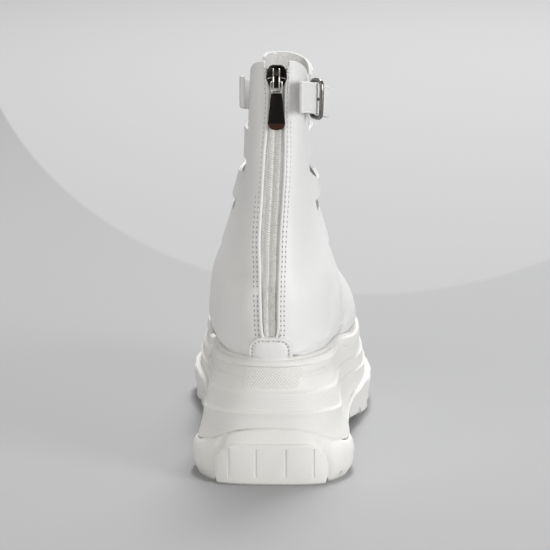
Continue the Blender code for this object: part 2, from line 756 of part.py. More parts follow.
def corner_drop(row, column, side, y):
    """How far the top edge falls away at the corners of the front tab and along the quarter."""
    if row != len(SECTIONS) - 1 or EDGE_STRIP < column < EDGE_QUARTER:
        return 0.0
    if column >= EDGE_QUARTER:
        return COLLAR_TOP - read(COLLAR_EDGE, "z", y)
    corner = TAB_ROUND_OUTER if side > 0 else TAB_ROUND_INNER
    from_corner = (1 - math.sin(math.pi / 2 * column / COLUMNS_STRIP)) * SECTIONS[-1].strip
    reach = max(1 - from_corner / corner, 0.0)
    return corner * (1 - math.sqrt(1 - reach * reach))


def make_upper(finish):
    bm = bmesh.new()
    grid = {}
    for j, row in enumerate(SECTIONS):
        at = section_curve(row)
        rim_t = t_at_rim(at) if row.back_z is None else RIM_T
        for c, t in enumerate(column_ts(j, row, at)):
            point = at(t)
            middle = middle_at(row, t, point.y, rim_t)
            for side in (1, -1) if c else (1,):
                x = middle + side * (point.x + strap_bow(j, c, side))
                z = point.z - corner_drop(j, c, side, point.y)
                grid[j, side * c] = bm.verts.new(place(x, point.y, z))
    for j in range(len(SECTIONS) - 1):
        for c in range(COLUMNS):
            for side in (1, -1):
                if not is_wall(j, c, side):
                    continue
                near, far = side * c, side * (c + 1)
                corners = (grid[j, near], grid[j, far], grid[j + 1, far], grid[j + 1, near])
                bm.faces.new(corners if side > 0 else reversed(corners))
    for j in range(ROW_CORNER, ROW_ZIP):
        bm.faces.new(
            (grid[j, COLUMNS], grid[j, -COLUMNS], grid[j + 1, -COLUMNS], grid[j + 1, COLUMNS])
        )
    loose = [vert for vert in bm.verts if not vert.link_faces]
    bmesh.ops.delete(bm, geom=loose, context="VERTS")
    bmesh.ops.recalc_face_normals(bm, faces=bm.faces)
    made = add_object("upper", bm, finish)
    wall = made.modifiers.new("wall", "SOLIDIFY")
    wall.thickness = UPPER_WALL * MM
    wall.offset = -1.0
    wall.use_even_offset = True
    return made


# ---------------------------------------------------------------- the back of the upper
BACK = SECTIONS[ROW_CORNER + 1:]


def back_section(z):
    """The section whose back point is at this height on the heel or the shaft."""
    values = [read(BACK, column, z, along="back_z") for column in Section._fields]
    return Section(*values)


def back_face(x, z):
    """The place in y of the upper's outer face, this far from its middle, at the back."""
    row = back_section(z)
    turn = math.asin(min(abs(x) / row.half, 1.0) ** (1 / row.flat))
    return mix(row.front_y, row.back_y, (1 + math.cos(turn)) / 2)


def back_centre(z):
    return read(BACK, "centre", z, along="back_z") + read(ZIP_LINE, "shift", z, along="z")


# ---------------------------------------------------------------- the zip
TAPE_HALF = 7.5
TAPE_THICK = 0.8
TAPE_EASE = 0.8      # the tape's edges curve in this much more than the wall
CHAIN_HALF = 3.1
CHAIN_IN = 0.7       # the chain's face lies this far inside the upper's outer face
CHAIN_GROOVE = 0.45  # half the groove between the two rows of teeth
TAPE_BOTTOM = 67.0
ZIP_STEP = 9.0


def zip_section(z, has_chain):
    """The tape's cross-section inside the upper, with the chain standing up into the opening."""
    centre = back_centre(z)
    under = UPPER_WALL + GAP
    middle = back_face(CHAIN_HALF, z) + under
    edge = back_face(TAPE_HALF, z) + under + TAPE_EASE
    face = back_face(0, z) + CHAIN_IN if has_chain else middle - 0.02
    groove = face + 0.8 if has_chain else middle - 0.02
    points = [
        (-TAPE_HALF, edge), (-CHAIN_HALF, middle), (-CHAIN_HALF, face), (-CHAIN_GROOVE, face),
        (-CHAIN_GROOVE, groove), (CHAIN_GROOVE, groove), (CHAIN_GROOVE, face),
        (CHAIN_HALF, face), (CHAIN_HALF, middle), (TAPE_HALF, edge),
        (TAPE_HALF, edge + TAPE_THICK), (0, middle + TAPE_THICK), (-TAPE_HALF, edge + TAPE_THICK),
    ]
    return [place(centre + x, y, z) for x, y in points]


def make_zip(finish):
    top = COLLAR_TOP - 1.5
    count = round((top - ZIP_BOTTOM) / ZIP_STEP)
    heights = [mix(ZIP_BOTTOM + 1.0, top, k / count) for k in range(count + 1)]
    loops = [zip_section(TAPE_BOTTOM, False), zip_section(ZIP_BOTTOM + 0.8, False)]
    loops += [zip_section(z, True) for z in heights]
    return add_object("zip", section_loft(loops), finish)


# ---------------------------------------------------------------- the slider and its pull
SLIDER_MIDDLE = 209.0
SLIDER_THICK = 2.2
BRIDGE_HALF = 1.5
BRIDGE_STANDS = 3.6      # the bridge's outer face, over the slider's plate
BRIDGE_THICK = 1.0
PULL_THICK = 1.5
PULL_CLEAR = 0.5
PULL_LEAN = math.radians(5)
PIVOT_Z = 206.9

Edge = namedtuple("Edge", "z half")
SLIDER_EDGES = (
    Edge(204.4, 3.4),
    Edge(206.2, 4.3),
    Edge(208.4, 5.3),
    Edge(210.0, 5.2),
    Edge(212.8, 4.7),
    Edge(214.4, 3.7),
    Edge(215.2, 2.2),
)
# Measured down from the pivot: a loop round the bridge, a neck, then a tab that flares.
PULL_EDGES = (
    Edge(0.9, 2.2),
    Edge(0.2, 3.1),
    Edge(-1.0, 3.35),
    Edge(-5.2, 3.3),
    Edge(-6.6, 2.85),
    Edge(-11.5, 3.35),
    Edge(-17.0, 4.0),
    Edge(-21.2, 4.4),
    Edge(-23.2, 4.1),
    Edge(-24.4, 3.1),
    Edge(-25.0, 1.4),
)
WINDOW_HALF = 1.95
WINDOW_TOP, WINDOW_BOTTOM = -0.6, -4.9

SLIDER_X = back_centre(SLIDER_MIDDLE)
PLATE_IN = back_face(0, SLIDER_MIDDLE) - 0.35
PLATE_OUT = PLATE_IN - SLIDER_THICK
PIVOT_Y = PLATE_OUT - PULL_CLEAR - PULL_THICK / 2


def mirrored(edges):
    """An outline from its right-hand edge, as pairs (x, z)."""
    return [(e.half, e.z) for e in edges] + [(-e.half, e.z) for e in reversed(edges)]


def facing(pair, depth):
    """A corner of a plate that faces the back: x from the slider's middle, z, and y."""
    return place(SLIDER_X + pair[0], depth, pair[1])


def lying_along(pair, across):
    """A corner of a prism that runs across the shoe: (y, z) and x from the slider's middle."""
    return place(SLIDER_X + across, pair[0], pair[1])


def make_slider(finish):
    slider = add_object(
        "zip_slider", extrude_outline(mirrored(SLIDER_EDGES), facing, PLATE_IN, PLATE_OUT), finish
    )
    foot = [(-2.6, 205.6), (2.6, 205.6), (2.6, 213.2), (-2.6, 213.2)]
    foot_in = PLATE_IN + CHAIN_IN - GAP - 0.3
    boolean(slider, add_object(
        "slider_foot", extrude_outline(foot, facing, foot_in, PLATE_IN - 0.6), None, cutter=True
    ), "UNION")
    low, high, out, sunk = 203.6, 213.6, PLATE_OUT - BRIDGE_STANDS, PLATE_OUT + 0.7
    t = BRIDGE_THICK
    bridge = [
        (sunk, low + 1.6), (PLATE_OUT - 0.6, low), (out + 1.0, low), (out, low + 1.0),
        (out, high - 3.2), (sunk, high),
        (sunk, high - 1.4), (out + t, high - 4.0), (out + t, low + t + 0.5),
        (out + t + 0.5, low + t), (PLATE_OUT - 0.6, low + t), (sunk, low + t + 1.6),
    ]
    boolean(slider, add_object(
        "slider_bridge", extrude_outline(bridge, lying_along, -BRIDGE_HALF, BRIDGE_HALF), None,
        cutter=True,
    ), "UNION")
    return slider


def make_pull(finish):
    """The pull hangs from an empty on its hinge axis, and leans in against the zip."""
    def hanging(pair, depth):
        return Vector((pair[0], depth, pair[1])) * MM

    half = PULL_THICK / 2
    pull = add_object("zip_pull", extrude_outline(mirrored(PULL_EDGES), hanging, -half, half), finish)
    window = [
        (WINDOW_HALF, WINDOW_TOP - 0.8), (WINDOW_HALF - 0.8, WINDOW_TOP),
        (0.8 - WINDOW_HALF, WINDOW_TOP), (-WINDOW_HALF, WINDOW_TOP - 0.8),
        (-WINDOW_HALF, WINDOW_BOTTOM + 0.8), (0.8 - WINDOW_HALF, WINDOW_BOTTOM),
        (WINDOW_HALF - 0.8, WINDOW_BOTTOM), (WINDOW_HALF, WINDOW_BOTTOM + 0.8),
    ]
    cutter = add_object(
        "pull_window", extrude_outline(window, hanging, -2 * half, 2 * half), None, cutter=True
    )
    boolean(pull, cutter)
    hinge = bpy.data.objects.new("pull_hinge", None)
    hinge.location = place(SLIDER_X, PIVOT_Y, PIVOT_Z)
    hinge.rotation_euler = (PULL_LEAN, 0, 0)
    PARTS.objects.link(hinge)
    pull.parent = hinge
    cutter.parent = hinge
    return pull


# ---------------------------------------------------------------- the heel tab
TAB_HALF = 11.0
TAB_LOW, TAB_HIGH = 64.4, 75.6
TAB_THICK = 1.6
TAB_CLEAR = 0.45
TAB_CORNER = 6.5


def make_heel_tab(finish):
    """A patch over the zip's foot that follows the heel's face, with rounded upper corners."""
    across, up = 12, 4
    bm = bmesh.new()
    grid = {}
    for i in range(across + 1):
        x = TAB_HALF * math.sin(math.pi * (i / across - 0.5))
        rise = max(abs(x) - (TAB_HALF - TAB_CORNER), 0.0)
        drop = TAB_CORNER - math.sqrt(TAB_CORNER**2 - rise**2)
        for k in range(up + 1):
            z = mix(TAB_LOW, TAB_HIGH - drop, k / up)
            y = back_face(x, z) - (TAB_CLEAR + TAB_THICK) / math.sqrt(1 - (x / 36) ** 2)
            grid[i, k] = bm.verts.new(place(back_centre(z) + x, y, z))
    for i in range(across):
        for k in range(up):
            bm.faces.new((grid[i, k], grid[i + 1, k], grid[i + 1, k + 1], grid[i, k + 1]))
    made = add_object("heel_tab", bm, finish)
    wall = made.modifiers.new("wall", "SOLIDIFY")
    wall.thickness = TAB_THICK * MM
    wall.offset = -1.0
    return made


# ---------------------------------------------------------------- the ankle strap and its buckle
BAND_TALL = 16.0
BAND_THICK = 2.0
BandPoint = namedtuple("BandPoint", "x y z")
# From the free end at the back, through the buckle, round the front to the inner side.
BAND_PATH = (
    BandPoint(12.6, 10.2, 199.2),
    BandPoint(16.0, 19.5, 197.8),
    BandPoint(20.0, 30.0, 195.6),
    BandPoint(23.2, 41.0, 193.4),
    BandPoint(25.0, 53.0, 192.0),
    BandPoint(24.2, 67.0, 191.4),
    BandPoint(21.4, 83.0, 191.2),
    BandPoint(14.4, 96.4, 191.4),
    BandPoint(2.4, 102.0, 191.8),
    BandPoint(-10.3, 98.2, 192.4),
    BandPoint(-17.4, 84.0, 193.4),
    BandPoint(-19.6, 69.0, 194.8),
    BandPoint(-19.7, 55.0, 196.4),
    BandPoint(-18.8, 44.0, 197.6),
    BandPoint(-17.9, 34.0, 198.4),
)
BAND_STEPS = 3           # divisions of each span of the path
BUCKLE_SPAN = 2          # the path's point that lies in the buckle
BUCKLE_HALF = 4.8
BUCKLE_TALL = 21.6
BUCKLE_WIRE = 1.2
BUCKLE_TURN = math.radians(-56.6)    # from +X towards the heel
PRONG_WIRE = 0.8
LOOP_INNER = BUCKLE_WIRE + GAP       # the leather loop round the buckle's inner bar
LOOP_OUTER = LOOP_INNER + 1.0
LOOP_TALL = 13.0
TAIL_END = 50.0                      # where the loop's tail ends on the quarter
LOOP_CLEAR = 0.55                    # the tail from the quarter's face, at its middle height


def path_point(path, at):
    """A smooth curve through the path's points (Catmull-Rom)."""
    k = min(int(at), len(path) - 2)
    t = at - k
    before, start = path[max(k - 1, 0)], path[k]
    end, after = path[k + 1], path[min(k + 2, len(path) - 1)]
    values = []
    for a, b, c, d in zip(before, start, end, after):
        values.append(0.5 * (2 * b + (c - a) * t + (2 * a - 5 * b + 4 * c - d) * t * t
                             + (3 * b - a - 3 * c + d) * t ** 3))
    return Vector(values)


def shaft_place(x, y, z):
    return place(back_centre(z) + x, y, z)


def make_ankle_strap(finish):
    count = (len(BAND_PATH) - 1) * BAND_STEPS
    loops = []
    for k in range(count + 1):
        at = k / BAND_STEPS
        here = path_point(BAND_PATH, at)
        ahead = path_point(BAND_PATH, min(at + 0.05, len(BAND_PATH) - 1))
        behind = path_point(BAND_PATH, max(at - 0.05, 0))
        run = (ahead - behind).normalized()
        side = Vector((run.y, -run.x, 0)).normalized() * (BAND_THICK / 2)
        up = Vector((0, 0, BAND_TALL / 2))
        edge = Vector((0, 0, BAND_TALL / 2 - 0.5))
        loops.append([
            shaft_place(*(here + offset))
            for offset in (side * 0.5 - up, side - edge, side + edge, side * 0.5 + up,
                           -side * 0.5 + up, -side + edge, -side - edge, -side * 0.5 - up)
        ])
    strap = add_object("ankle_strap", section_loft(loops), finish)
    boolean(strap, tube("prong_hole", prong_line(4), PRONG_WIRE + 0.5, None, cutter=True))
    return strap


def tube(name, points, radius, finish, closed=False, cutter=False):
    """A wire through points in metres, made a mesh with its caps welded."""
    curve = bpy.data.curves.new(name, "CURVE")
    curve.dimensions = "3D"
    curve.bevel_depth = radius * MM
    curve.bevel_resolution = 2
    curve.use_fill_caps = not closed
    spline = curve.splines.new("POLY")
    spline.points.add(len(points) - 1)
    for item, point in zip(spline.points, points):
        item.co = (*point, 1)
    spline.use_cyclic_u = closed
    guide = bpy.data.objects.new(name, curve)
    PARTS.objects.link(guide)
    bpy.context.view_layer.update()
    mesh = bpy.data.meshes.new_from_object(guide.evaluated_get(bpy.context.evaluated_depsgraph_get()))
    bpy.data.objects.remove(guide, do_unlink=True)
    bm = bmesh.new()
    bm.from_mesh(mesh)
    bpy.data.meshes.remove(mesh)
    bmesh.ops.remove_doubles(bm, verts=bm.verts, dist=1e-6)
    bmesh.ops.recalc_face_normals(bm, faces=bm.faces)
    return add_object(name, bm, finish, cutter)


BUCKLE_MIDDLE = path_point(BAND_PATH, BUCKLE_SPAN)


def in_buckle(across, up):
    """A place in the buckle's plane: across from the strap outwards, and up."""
    outwards = Vector((math.cos(BUCKLE_TURN), math.sin(BUCKLE_TURN), 0))
    return shaft_place(*(BUCKLE_MIDDLE + outwards * across + Vector((0, 0, up))))


def prong_line(past):
    """From the tab's loop, through the strap's hole, to the outer bar, and past them."""
    start = LOOP_OUTER + GAP - BUCKLE_HALF - past
    return [in_buckle(start, 0), in_buckle(BUCKLE_HALF - BUCKLE_WIRE - GAP + past, 0)]


def make_buckle(finish):
    """A rounded rectangle of wire that stands out from the shaft, round the strap."""
    corner = 2.6
    half_tall = BUCKLE_TALL / 2 - BUCKLE_WIRE
    points = []
    for number, (sx, sz) in enumerate(((1, 1), (-1, 1), (-1, -1), (1, -1))):
        for step in range(4):
            turn = math.pi / 2 * (number + step / 3)
            points.append(in_buckle(
                sx * (BUCKLE_HALF - corner) + corner * math.cos(turn),
                sz * (half_tall - corner) + corner * math.sin(turn),
            ))
    tube("buckle", points, BUCKLE_WIRE, finish, closed=True)
    tube("buckle_prong", prong_line(0), PRONG_WIRE, finish)


def side_face(y, z):
    """How far out from its middle the shaft's outer face lies."""
    row = back_section(z)
    turn = math.acos(1 - 2 * (row.front_y - y) / (row.front_y - row.back_y))
    return row.half * math.sin(turn) ** row.flat


def make_buckle_tab(finish):
    """The loop of leather that ties the buckle's inner bar to the quarter, and its flat tail."""
    z = BUCKLE_MIDDLE.z
    bar = BUCKLE_MIDDLE + Vector((math.cos(BUCKLE_TURN), math.sin(BUCKLE_TURN), 0)) * -BUCKLE_HALF
    low, high = z - LOOP_TALL / 2, z + LOOP_TALL / 2

    def standing(pair, height):
        return shaft_place(pair[0], pair[1], height)

    def circle(radius, count=16):
        turns = [2 * math.pi * k / count for k in range(count)]
        return [(bar.x + radius * math.cos(turn), bar.y + radius * math.sin(turn)) for turn in turns]

    face = [(side_face(y, z) + LOOP_CLEAR, y) for y in (bar.y, 39, 43, 47, TAIL_END)]
    tail = face + [(x + 1.2, y) for x, y in reversed(face)]
    tab = add_object("buckle_tab", extrude_outline(tail, standing, low, high), finish)
    ring = extrude_outline(circle(LOOP_OUTER), standing, low, high)
    bore = extrude_outline(circle(LOOP_INNER), standing, low - 2, high + 2)
    boolean(tab, add_object("loop_ring", ring, None, cutter=True), "UNION")
    boolean(tab, add_object("loop_bore", bore, None, cutter=True))
    return tab


# ---------------------------------------------------------------- the whole shoe
WHITE_RUBBER = material("sole_white", (0.80, 0.79, 0.77), 0.55)
WHITE_LEATHER = material("upper_white", (0.82, 0.83, 0.84), 0.45)
LINING = material("lining_grey", (0.62, 0.62, 0.62), 0.85)
ZIP_TAPE = material("zip_grey", (0.70, 0.70, 0.70), 0.60)
GUNMETAL = material("gunmetal", (0.16, 0.15, 0.15), 0.30, metallic=1.0)
CHROME = material("chrome", (0.75, 0.75, 0.76), 0.15, metallic=1.0)

make_midsole(WHITE_RUBBER)
make_outsole(WHITE_RUBBER)
make_insole(LINING)
make_upper(WHITE_LEATHER)
make_zip(ZIP_TAPE)
make_slider(GUNMETAL)
make_pull(GUNMETAL)
make_heel_tab(WHITE_LEATHER)
make_ankle_strap(WHITE_LEATHER)
make_buckle(CHROME)
make_buckle_tab(WHITE_LEATHER)
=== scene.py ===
"""The looks of the white caged sandal: leather, lining, zip, buckle, stitching and ribbed sole.

Sizes are in mm from the heel point: x across to the wearer's right, y forward and z up.
"""
import json
import math
from collections import namedtuple

import bmesh
import bpy
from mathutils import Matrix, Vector
from mathutils.bvhtree import BVHTree
from mathutils.geometry import intersect_point_line


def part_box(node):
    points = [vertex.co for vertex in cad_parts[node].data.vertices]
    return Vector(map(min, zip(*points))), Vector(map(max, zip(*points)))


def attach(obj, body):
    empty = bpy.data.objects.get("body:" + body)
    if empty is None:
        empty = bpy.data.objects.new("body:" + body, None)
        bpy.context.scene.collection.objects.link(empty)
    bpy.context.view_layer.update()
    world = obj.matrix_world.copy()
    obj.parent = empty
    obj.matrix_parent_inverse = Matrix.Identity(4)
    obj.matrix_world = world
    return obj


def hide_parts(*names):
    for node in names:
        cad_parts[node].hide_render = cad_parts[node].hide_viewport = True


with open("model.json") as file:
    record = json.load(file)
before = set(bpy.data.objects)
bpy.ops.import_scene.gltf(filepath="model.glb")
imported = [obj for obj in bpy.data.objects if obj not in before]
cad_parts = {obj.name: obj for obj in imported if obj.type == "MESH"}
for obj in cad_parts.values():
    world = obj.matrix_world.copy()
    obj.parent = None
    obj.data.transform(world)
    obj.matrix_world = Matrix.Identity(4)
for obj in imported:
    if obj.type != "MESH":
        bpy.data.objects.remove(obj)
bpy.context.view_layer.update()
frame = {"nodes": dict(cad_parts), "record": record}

MM = 0.001
HEEL_POINT = Vector((0.00111, -0.13106, 0.0))    # the rearmost point of the sole, on the floor
FORWARD = Vector((0, 1, 0))


def place(x, y, z):
    """A point in metres, from its sizes in mm."""
    return HEEL_POINT + Vector((x, y, z)) * MM


def sizes_of(point):
    """The sizes in mm of a point in metres."""
    return (Vector(point) - HEEL_POINT) / MM


def up_by(height):
    return Vector((0, 0, height))


def mix(a, b, share):
    return a + (b - a) * share


def clamp(value):
    return min(max(value, 0.0), 1.0)


def read(rows, at):
    """The value at a place along a table of (place, value) rows."""
    if at <= rows[0][0]:
        return rows[0][1]
    for (a, low), (b, high) in zip(rows, rows[1:]):
        if at <= b:
            return mix(low, high, (at - a) / (b - a))
    return rows[-1][1]


# ---------------------------------------------------------------- materials
class Value:
    """A number or a colour that varies over a surface. Python's operators on it add Math nodes."""

    def __init__(self, finish, socket):
        self.finish, self.socket = finish, socket

    def math(self, operation, *values):
        return self.finish.node("ShaderNodeMath", {"operation": operation}, *values)

    def __add__(self, other): return self.math("ADD", self, other)
    def __radd__(self, other): return self.math("ADD", other, self)
    def __sub__(self, other): return self.math("SUBTRACT", self, other)
    def __rsub__(self, other): return self.math("SUBTRACT", other, self)
    def __mul__(self, other): return self.math("MULTIPLY", self, other)
    def __rmul__(self, other): return self.math("MULTIPLY", other, self)
    def sin(self): return self.math("SINE", self)

    def ramp(self, low, high, start=0.0, end=1.0):
        """A smooth step from start to end as the value goes from low to high."""
        return self.finish.node(
            "ShaderNodeMapRange", {"interpolation_type": "SMOOTHSTEP"},
            self, low, high, start, end,
        )


class Finish:
    """A material, whose constants are set on its shader and whose patterns are nodes."""

    def __init__(self, name, **constants):
        self.material = bpy.data.materials.new(name)
        self.material.use_nodes = True
        self.tree = self.material.node_tree
        self.tree.nodes.clear()
        self.shader = self.tree.nodes.new("ShaderNodeBsdfPrincipled")
        output = self.tree.nodes.new("ShaderNodeOutputMaterial")
        self.tree.links.new(self.shader.outputs[0], output.inputs["Surface"])
        self.material.diffuse_color = (*constants.get("Base_Color", (0.8, 0.8, 0.8)), 1)
        for socket, value in constants.items():
            self.set(socket, value)

    def put(self, socket, value):
        """Links a value to a socket, or sets a constant on it."""
        if isinstance(value, Value):
            self.tree.links.new(value.socket, socket)
        elif isinstance(value, (tuple, list)) and len(value) == 3 and socket.type == "RGBA":
            socket.default_value = (*value, 1)
        else:
            socket.default_value = value

    def set(self, name, value):
        self.put(self.shader.inputs[name.replace("_", " ")], value)

    def node(self, kind, settings=None, *values, output=0, **named):
        made = self.tree.nodes.new(kind)
        for setting, value in (settings or {}).items():
            setattr(made, setting, value)
        for socket, value in zip(made.inputs, values):
            self.put(socket, value)
        for socket, value in named.items():
            self.put(made.inputs[socket.replace("_", " ")], value)
        return Value(self, made.outputs[output])

    def spot(self):
        """The place on the piece, in metres."""
        return self.node("ShaderNodeTexCoord", output=3)

    def axes(self):
        """The place on the piece as three values, in mm."""
        split = self.tree.nodes.new("ShaderNodeSeparateXYZ")
        self.put(split.inputs[0], self.spot())
        return [Value(self, output) * 1000.0 for output in split.outputs]

    def noise(self, size, detail=2.0, roughness=0.5):
        """Soft noise from 0 to 1 whose blotches are about this size, in mm."""
        return self.node(
            "ShaderNodeTexNoise", {}, Vector=self.spot(), Scale=1000.0 / size,
            Detail=detail, Roughness=roughness,
        )

    def cells(self, size):
        """The distance from the nearest of points scattered this far apart, in mm."""
        return self.node("ShaderNodeTexVoronoi", {}, Vector=self.spot(), Scale=1000.0 / size)

    def blend(self, factor, first, second):
        """A colour between two others."""
        made = self.tree.nodes.new("ShaderNodeMix")
        made.data_type = "RGBA"
        for number, value in zip((0, 6, 7), (factor, first, second)):
            self.put(made.inputs[number], value)
        return Value(self, made.outputs[2])

    def mottled(self, colour, size, darker):
        """The colour with soft blotches of this size, in mm, that are darker by this share."""
        shade = tuple(c * darker for c in colour)
        self.set("Base_Color", self.blend(self.noise(size).ramp(0.35, 0.65), colour, shade))

    def bump(self, height, depth):
        """Relief: a height of 1 stands this many mm proud."""
        self.set("Normal", self.node("ShaderNodeBump", {}, Strength=1.0, Distance=depth * MM,
                                     Height=height))


def leather(name, colour):
    """Coated leather with a fine grain and a soft, uneven sheen."""
    made = Finish(name, Base_Color=colour, Roughness=0.42, Specular_IOR_Level=0.4)
    made.bump(made.cells(0.55) * 0.5 + made.noise(0.25, 3.0) * 0.5 + made.noise(7.0) * 1.6, 0.05)
    made.set("Roughness", made.noise(9.0).ramp(0.3, 0.7, 0.38, 0.50))
    made.mottled(colour, 22.0, 0.975)
    return made.material


LINE_PITCH = 0.85                        # between the foam's level lines


def foam(name, colour):
    """Moulded foam with a faint skin, and fine level lines across the bands at the back."""
    made = Finish(name, Base_Color=colour, Roughness=0.55, Specular_IOR_Level=0.35)
    _, along, height = made.axes()
    lines = (height * (2 * math.pi / LINE_PITCH)).sin() * along.ramp(-112.0, -95.0, 1.0, 0.0)
    lines = lines * height.ramp(49.0, 46.0) * height.ramp(24.0, 27.0)
    made.bump(made.noise(0.5) * 0.8 + made.noise(14.0) * 3.0 + lines * 0.9, 0.04)
    made.mottled(colour, 30.0, 0.98)
    return made.material


def rubber(name, colour):
    """Moulded rubber with the fine pebble of its mould."""
    made = Finish(name, Base_Color=colour, Roughness=0.55, Specular_IOR_Level=0.35)
    made.bump(made.cells(0.8) + made.noise(0.4) * 0.6 + made.noise(16.0) * 3.0, 0.05)
    made.mottled(colour, 30.0, 0.98)
    return made.material


def cloth(name, colour, size=0.6):
    """Woven cloth or thread whose weave is about this size, in mm."""
    made = Finish(name, Base_Color=colour, Roughness=0.9, Sheen_Weight=0.15)
    made.bump(made.cells(size) + made.noise(size * 2), 0.08)
    made.mottled(colour, 2.0, 0.92)
    return made.material


def metal(name, colour, roughness):
    """Plated metal, polished a little unevenly."""
    made = Finish(name, Base_Color=colour, Metallic=1.0, Roughness=roughness)
    made.set("Roughness", made.noise(2.0, 3.0).ramp(0.3, 0.7, roughness * 0.85, roughness * 1.3))
    made.bump(made.noise(3.0), 0.01)
    return made.material


def painted_hole_shade():
    """Painted shade for the needle holes: dark beads, paler higher up the shaft."""
    low, high = (0.22, 0.215, 0.205), (0.54, 0.535, 0.52)
    made = Finish("needle_holes", Base_Color=low, Roughness=0.9)
    made.set("Base_Color", made.blend(made.axes()[2].ramp(125.0, 165.0), low, high))
    return made.material


def clear_plastic():
    made = Finish("clear_stops", Base_Color=(0.78, 0.77, 0.76), Roughness=0.12, Coat_Weight=1.0)
    made.bump(made.noise(1.6), 0.5)
    return made.material


LEATHER = leather("white_leather", (0.80, 0.80, 0.795))
LINING = cloth("grey_lining", (0.70, 0.695, 0.685))
FOAM = foam("white_foam", (0.80, 0.795, 0.775))
RUBBER = rubber("white_rubber", (0.80, 0.795, 0.775))
TAPE = cloth("zip_tape", (0.76, 0.76, 0.745))
TEETH = cloth("zip_teeth", (0.88, 0.88, 0.86), 0.3)
# The weave's darker grey is painted shade, between and under the zip's ribs.
WEAVE_SHADE = cloth("zip_weave_painted_shade", (0.62, 0.62, 0.60), 0.4)
THREAD = cloth("white_thread", (0.78, 0.78, 0.77), 0.25)
# Dark beads that stand for the shade in the needle holes: painted shade.
HOLE_SHADE = painted_hole_shade()
GUNMETAL = metal("gunmetal", (0.024, 0.021, 0.019), 0.2)
# A warm tint painted on the pull tab's end facet as the floor's reflection: painted reflection.
PAINTED_TIP_REFLECTION = metal("gunmetal_painted_tip_reflection", (0.085, 0.045, 0.032), 0.25)
SILVER = metal("silver_edges", (0.62, 0.60, 0.56), 0.2)
CHROME = metal("bright_chrome", (0.24, 0.23, 0.22), 0.1)
CLEAR = clear_plastic()


# ---------------------------------------------------------------- making pieces
def in_scene(name, data):
    """A new object of this name in the scene."""
    made = bpy.data.objects.new(name, data)
    bpy.context.scene.collection.objects.link(made)
    return made


def copied(node):
    """The CAD node's surface as a bmesh, merged and back in four-sided faces."""
    bm = bmesh.new()
    bm.from_mesh(frame["nodes"][node].data)
    bmesh.ops.remove_doubles(bm, verts=bm.verts, dist=2e-6)
    bmesh.ops.join_triangles(
        bm, faces=bm.faces, angle_face_threshold=math.radians(40),
        angle_shape_threshold=math.radians(50), cmp_seam=False, cmp_sharp=False,
    )
    return bm


def finished(name, bm, finish, slot, *replaced, body="shoe", smooth=40):
    """Makes the bmesh a piece of the shoe that rides on its body."""
    mesh = bpy.data.meshes.new(name)
    bm.to_mesh(mesh)
    bm.free()
    piece = in_scene(name, mesh)
    mesh.shade_smooth()
    if smooth:
        mesh.set_sharp_from_angle(angle=math.radians(smooth))
    for each in finish if isinstance(finish, (list, tuple)) else [finish]:
        mesh.materials.append(each)
    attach(piece, body)
    if replaced:
        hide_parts(*replaced)
    return piece


def round_edges(bm, width, segments=1, sharper=35, only=lambda edge: True):
    """Bevels the edges that turn by more than this many degrees, among those asked for."""
    edges = [
        edge for edge in bm.edges
        if len(edge.link_faces) == 2 and edge.calc_face_angle(0) > math.radians(sharper)
        and only(edge)
    ]
    bmesh.ops.bevel(
        bm, geom=edges, offset=width * MM, affect="EDGES", segments=segments, profile=0.5,
        material=-1, clamp_overlap=True,
    )


def subdivided(piece, levels):
    """Smooths the piece by subdividing it, and makes the result its mesh."""
    smoother = piece.modifiers.new("smoother", "SUBSURF")
    smoother.levels = smoother.render_levels = levels
    bpy.context.view_layer.update()
    smoothed = piece.evaluated_get(bpy.context.evaluated_depsgraph_get())
    mesh = bpy.data.meshes.new_from_object(smoothed)
    piece.modifiers.clear()
    old, piece.data = piece.data, mesh
    name = old.name
    bpy.data.meshes.remove(old)
    mesh.name = name


def carried(node, name, finish, slot, width, levels=1, segments=1):
    """The CAD node's own shape, with its edges rounded."""
    bm = copied(node)
    round_edges(bm, width, segments)
    piece = finished(name, bm, finish, slot, node)
    if levels:
        subdivided(piece, levels)
    return piece


def surface(piece):
    """The piece's surface, to look for places on it."""
    piece.data.calc_loop_triangles()
    points = [vert.co.copy() for vert in piece.data.vertices]
    faces = [tuple(face.vertices) for face in piece.data.loop_triangles]
    return BVHTree.FromPolygons(points, faces)


def reshaped(piece, moved):
    """Moves each vertex of the piece to moved(its place)."""
    places = [moved(vert.co.copy()) for vert in piece.data.vertices]
    for vert, spot in zip(piece.data.vertices, places):
        vert.co = spot
    piece.data.update()


def seen_from_back(tree, x, z):
    """The place and the normal on the surface that the back view shows at this x and height."""
    spot, normal, _, _ = tree.ray_cast(place(x, -40, z), FORWARD)
    if spot is None or sizes_of(spot).y > 45:
        return None
    return spot, normal


def skin(bm, rings):
    """Adds a surface through closed rings of points in metres, with its two ends filled."""
    rows = [[bm.verts.new(point) for point in ring] for ring in rings]
    for low, high in zip(rows, rows[1:]):
        for i in range(len(low)):
            j = (i + 1) % len(low)
            bm.faces.new((low[i], low[j], high[j], high[i]))
    bm.faces.new(reversed(rows[0]))
    bm.faces.new(rows[-1])


def ring_body(rings):
    """A closed body through rings of points in metres."""
    bm = bmesh.new()
    skin(bm, rings)
    bmesh.ops.recalc_face_normals(bm, faces=bm.faces)
    return bm


def round_section(spot, across, up, sides):
    """The points of an oval round a place, from its two half-widths."""
    turns = (2 * math.pi * i / sides for i in range(sides))
    return [spot + across * math.cos(turn) + up * math.sin(turn) for turn in turns]


def eased(path, times):
    """The path with its bends softened and its ends kept."""
    for _ in range(times):
        inner = [(a + b * 2 + c) / 4 for a, b, c in zip(path, path[1:], path[2:])]
        path = [path[0], *inner, path[-1]]
    return path


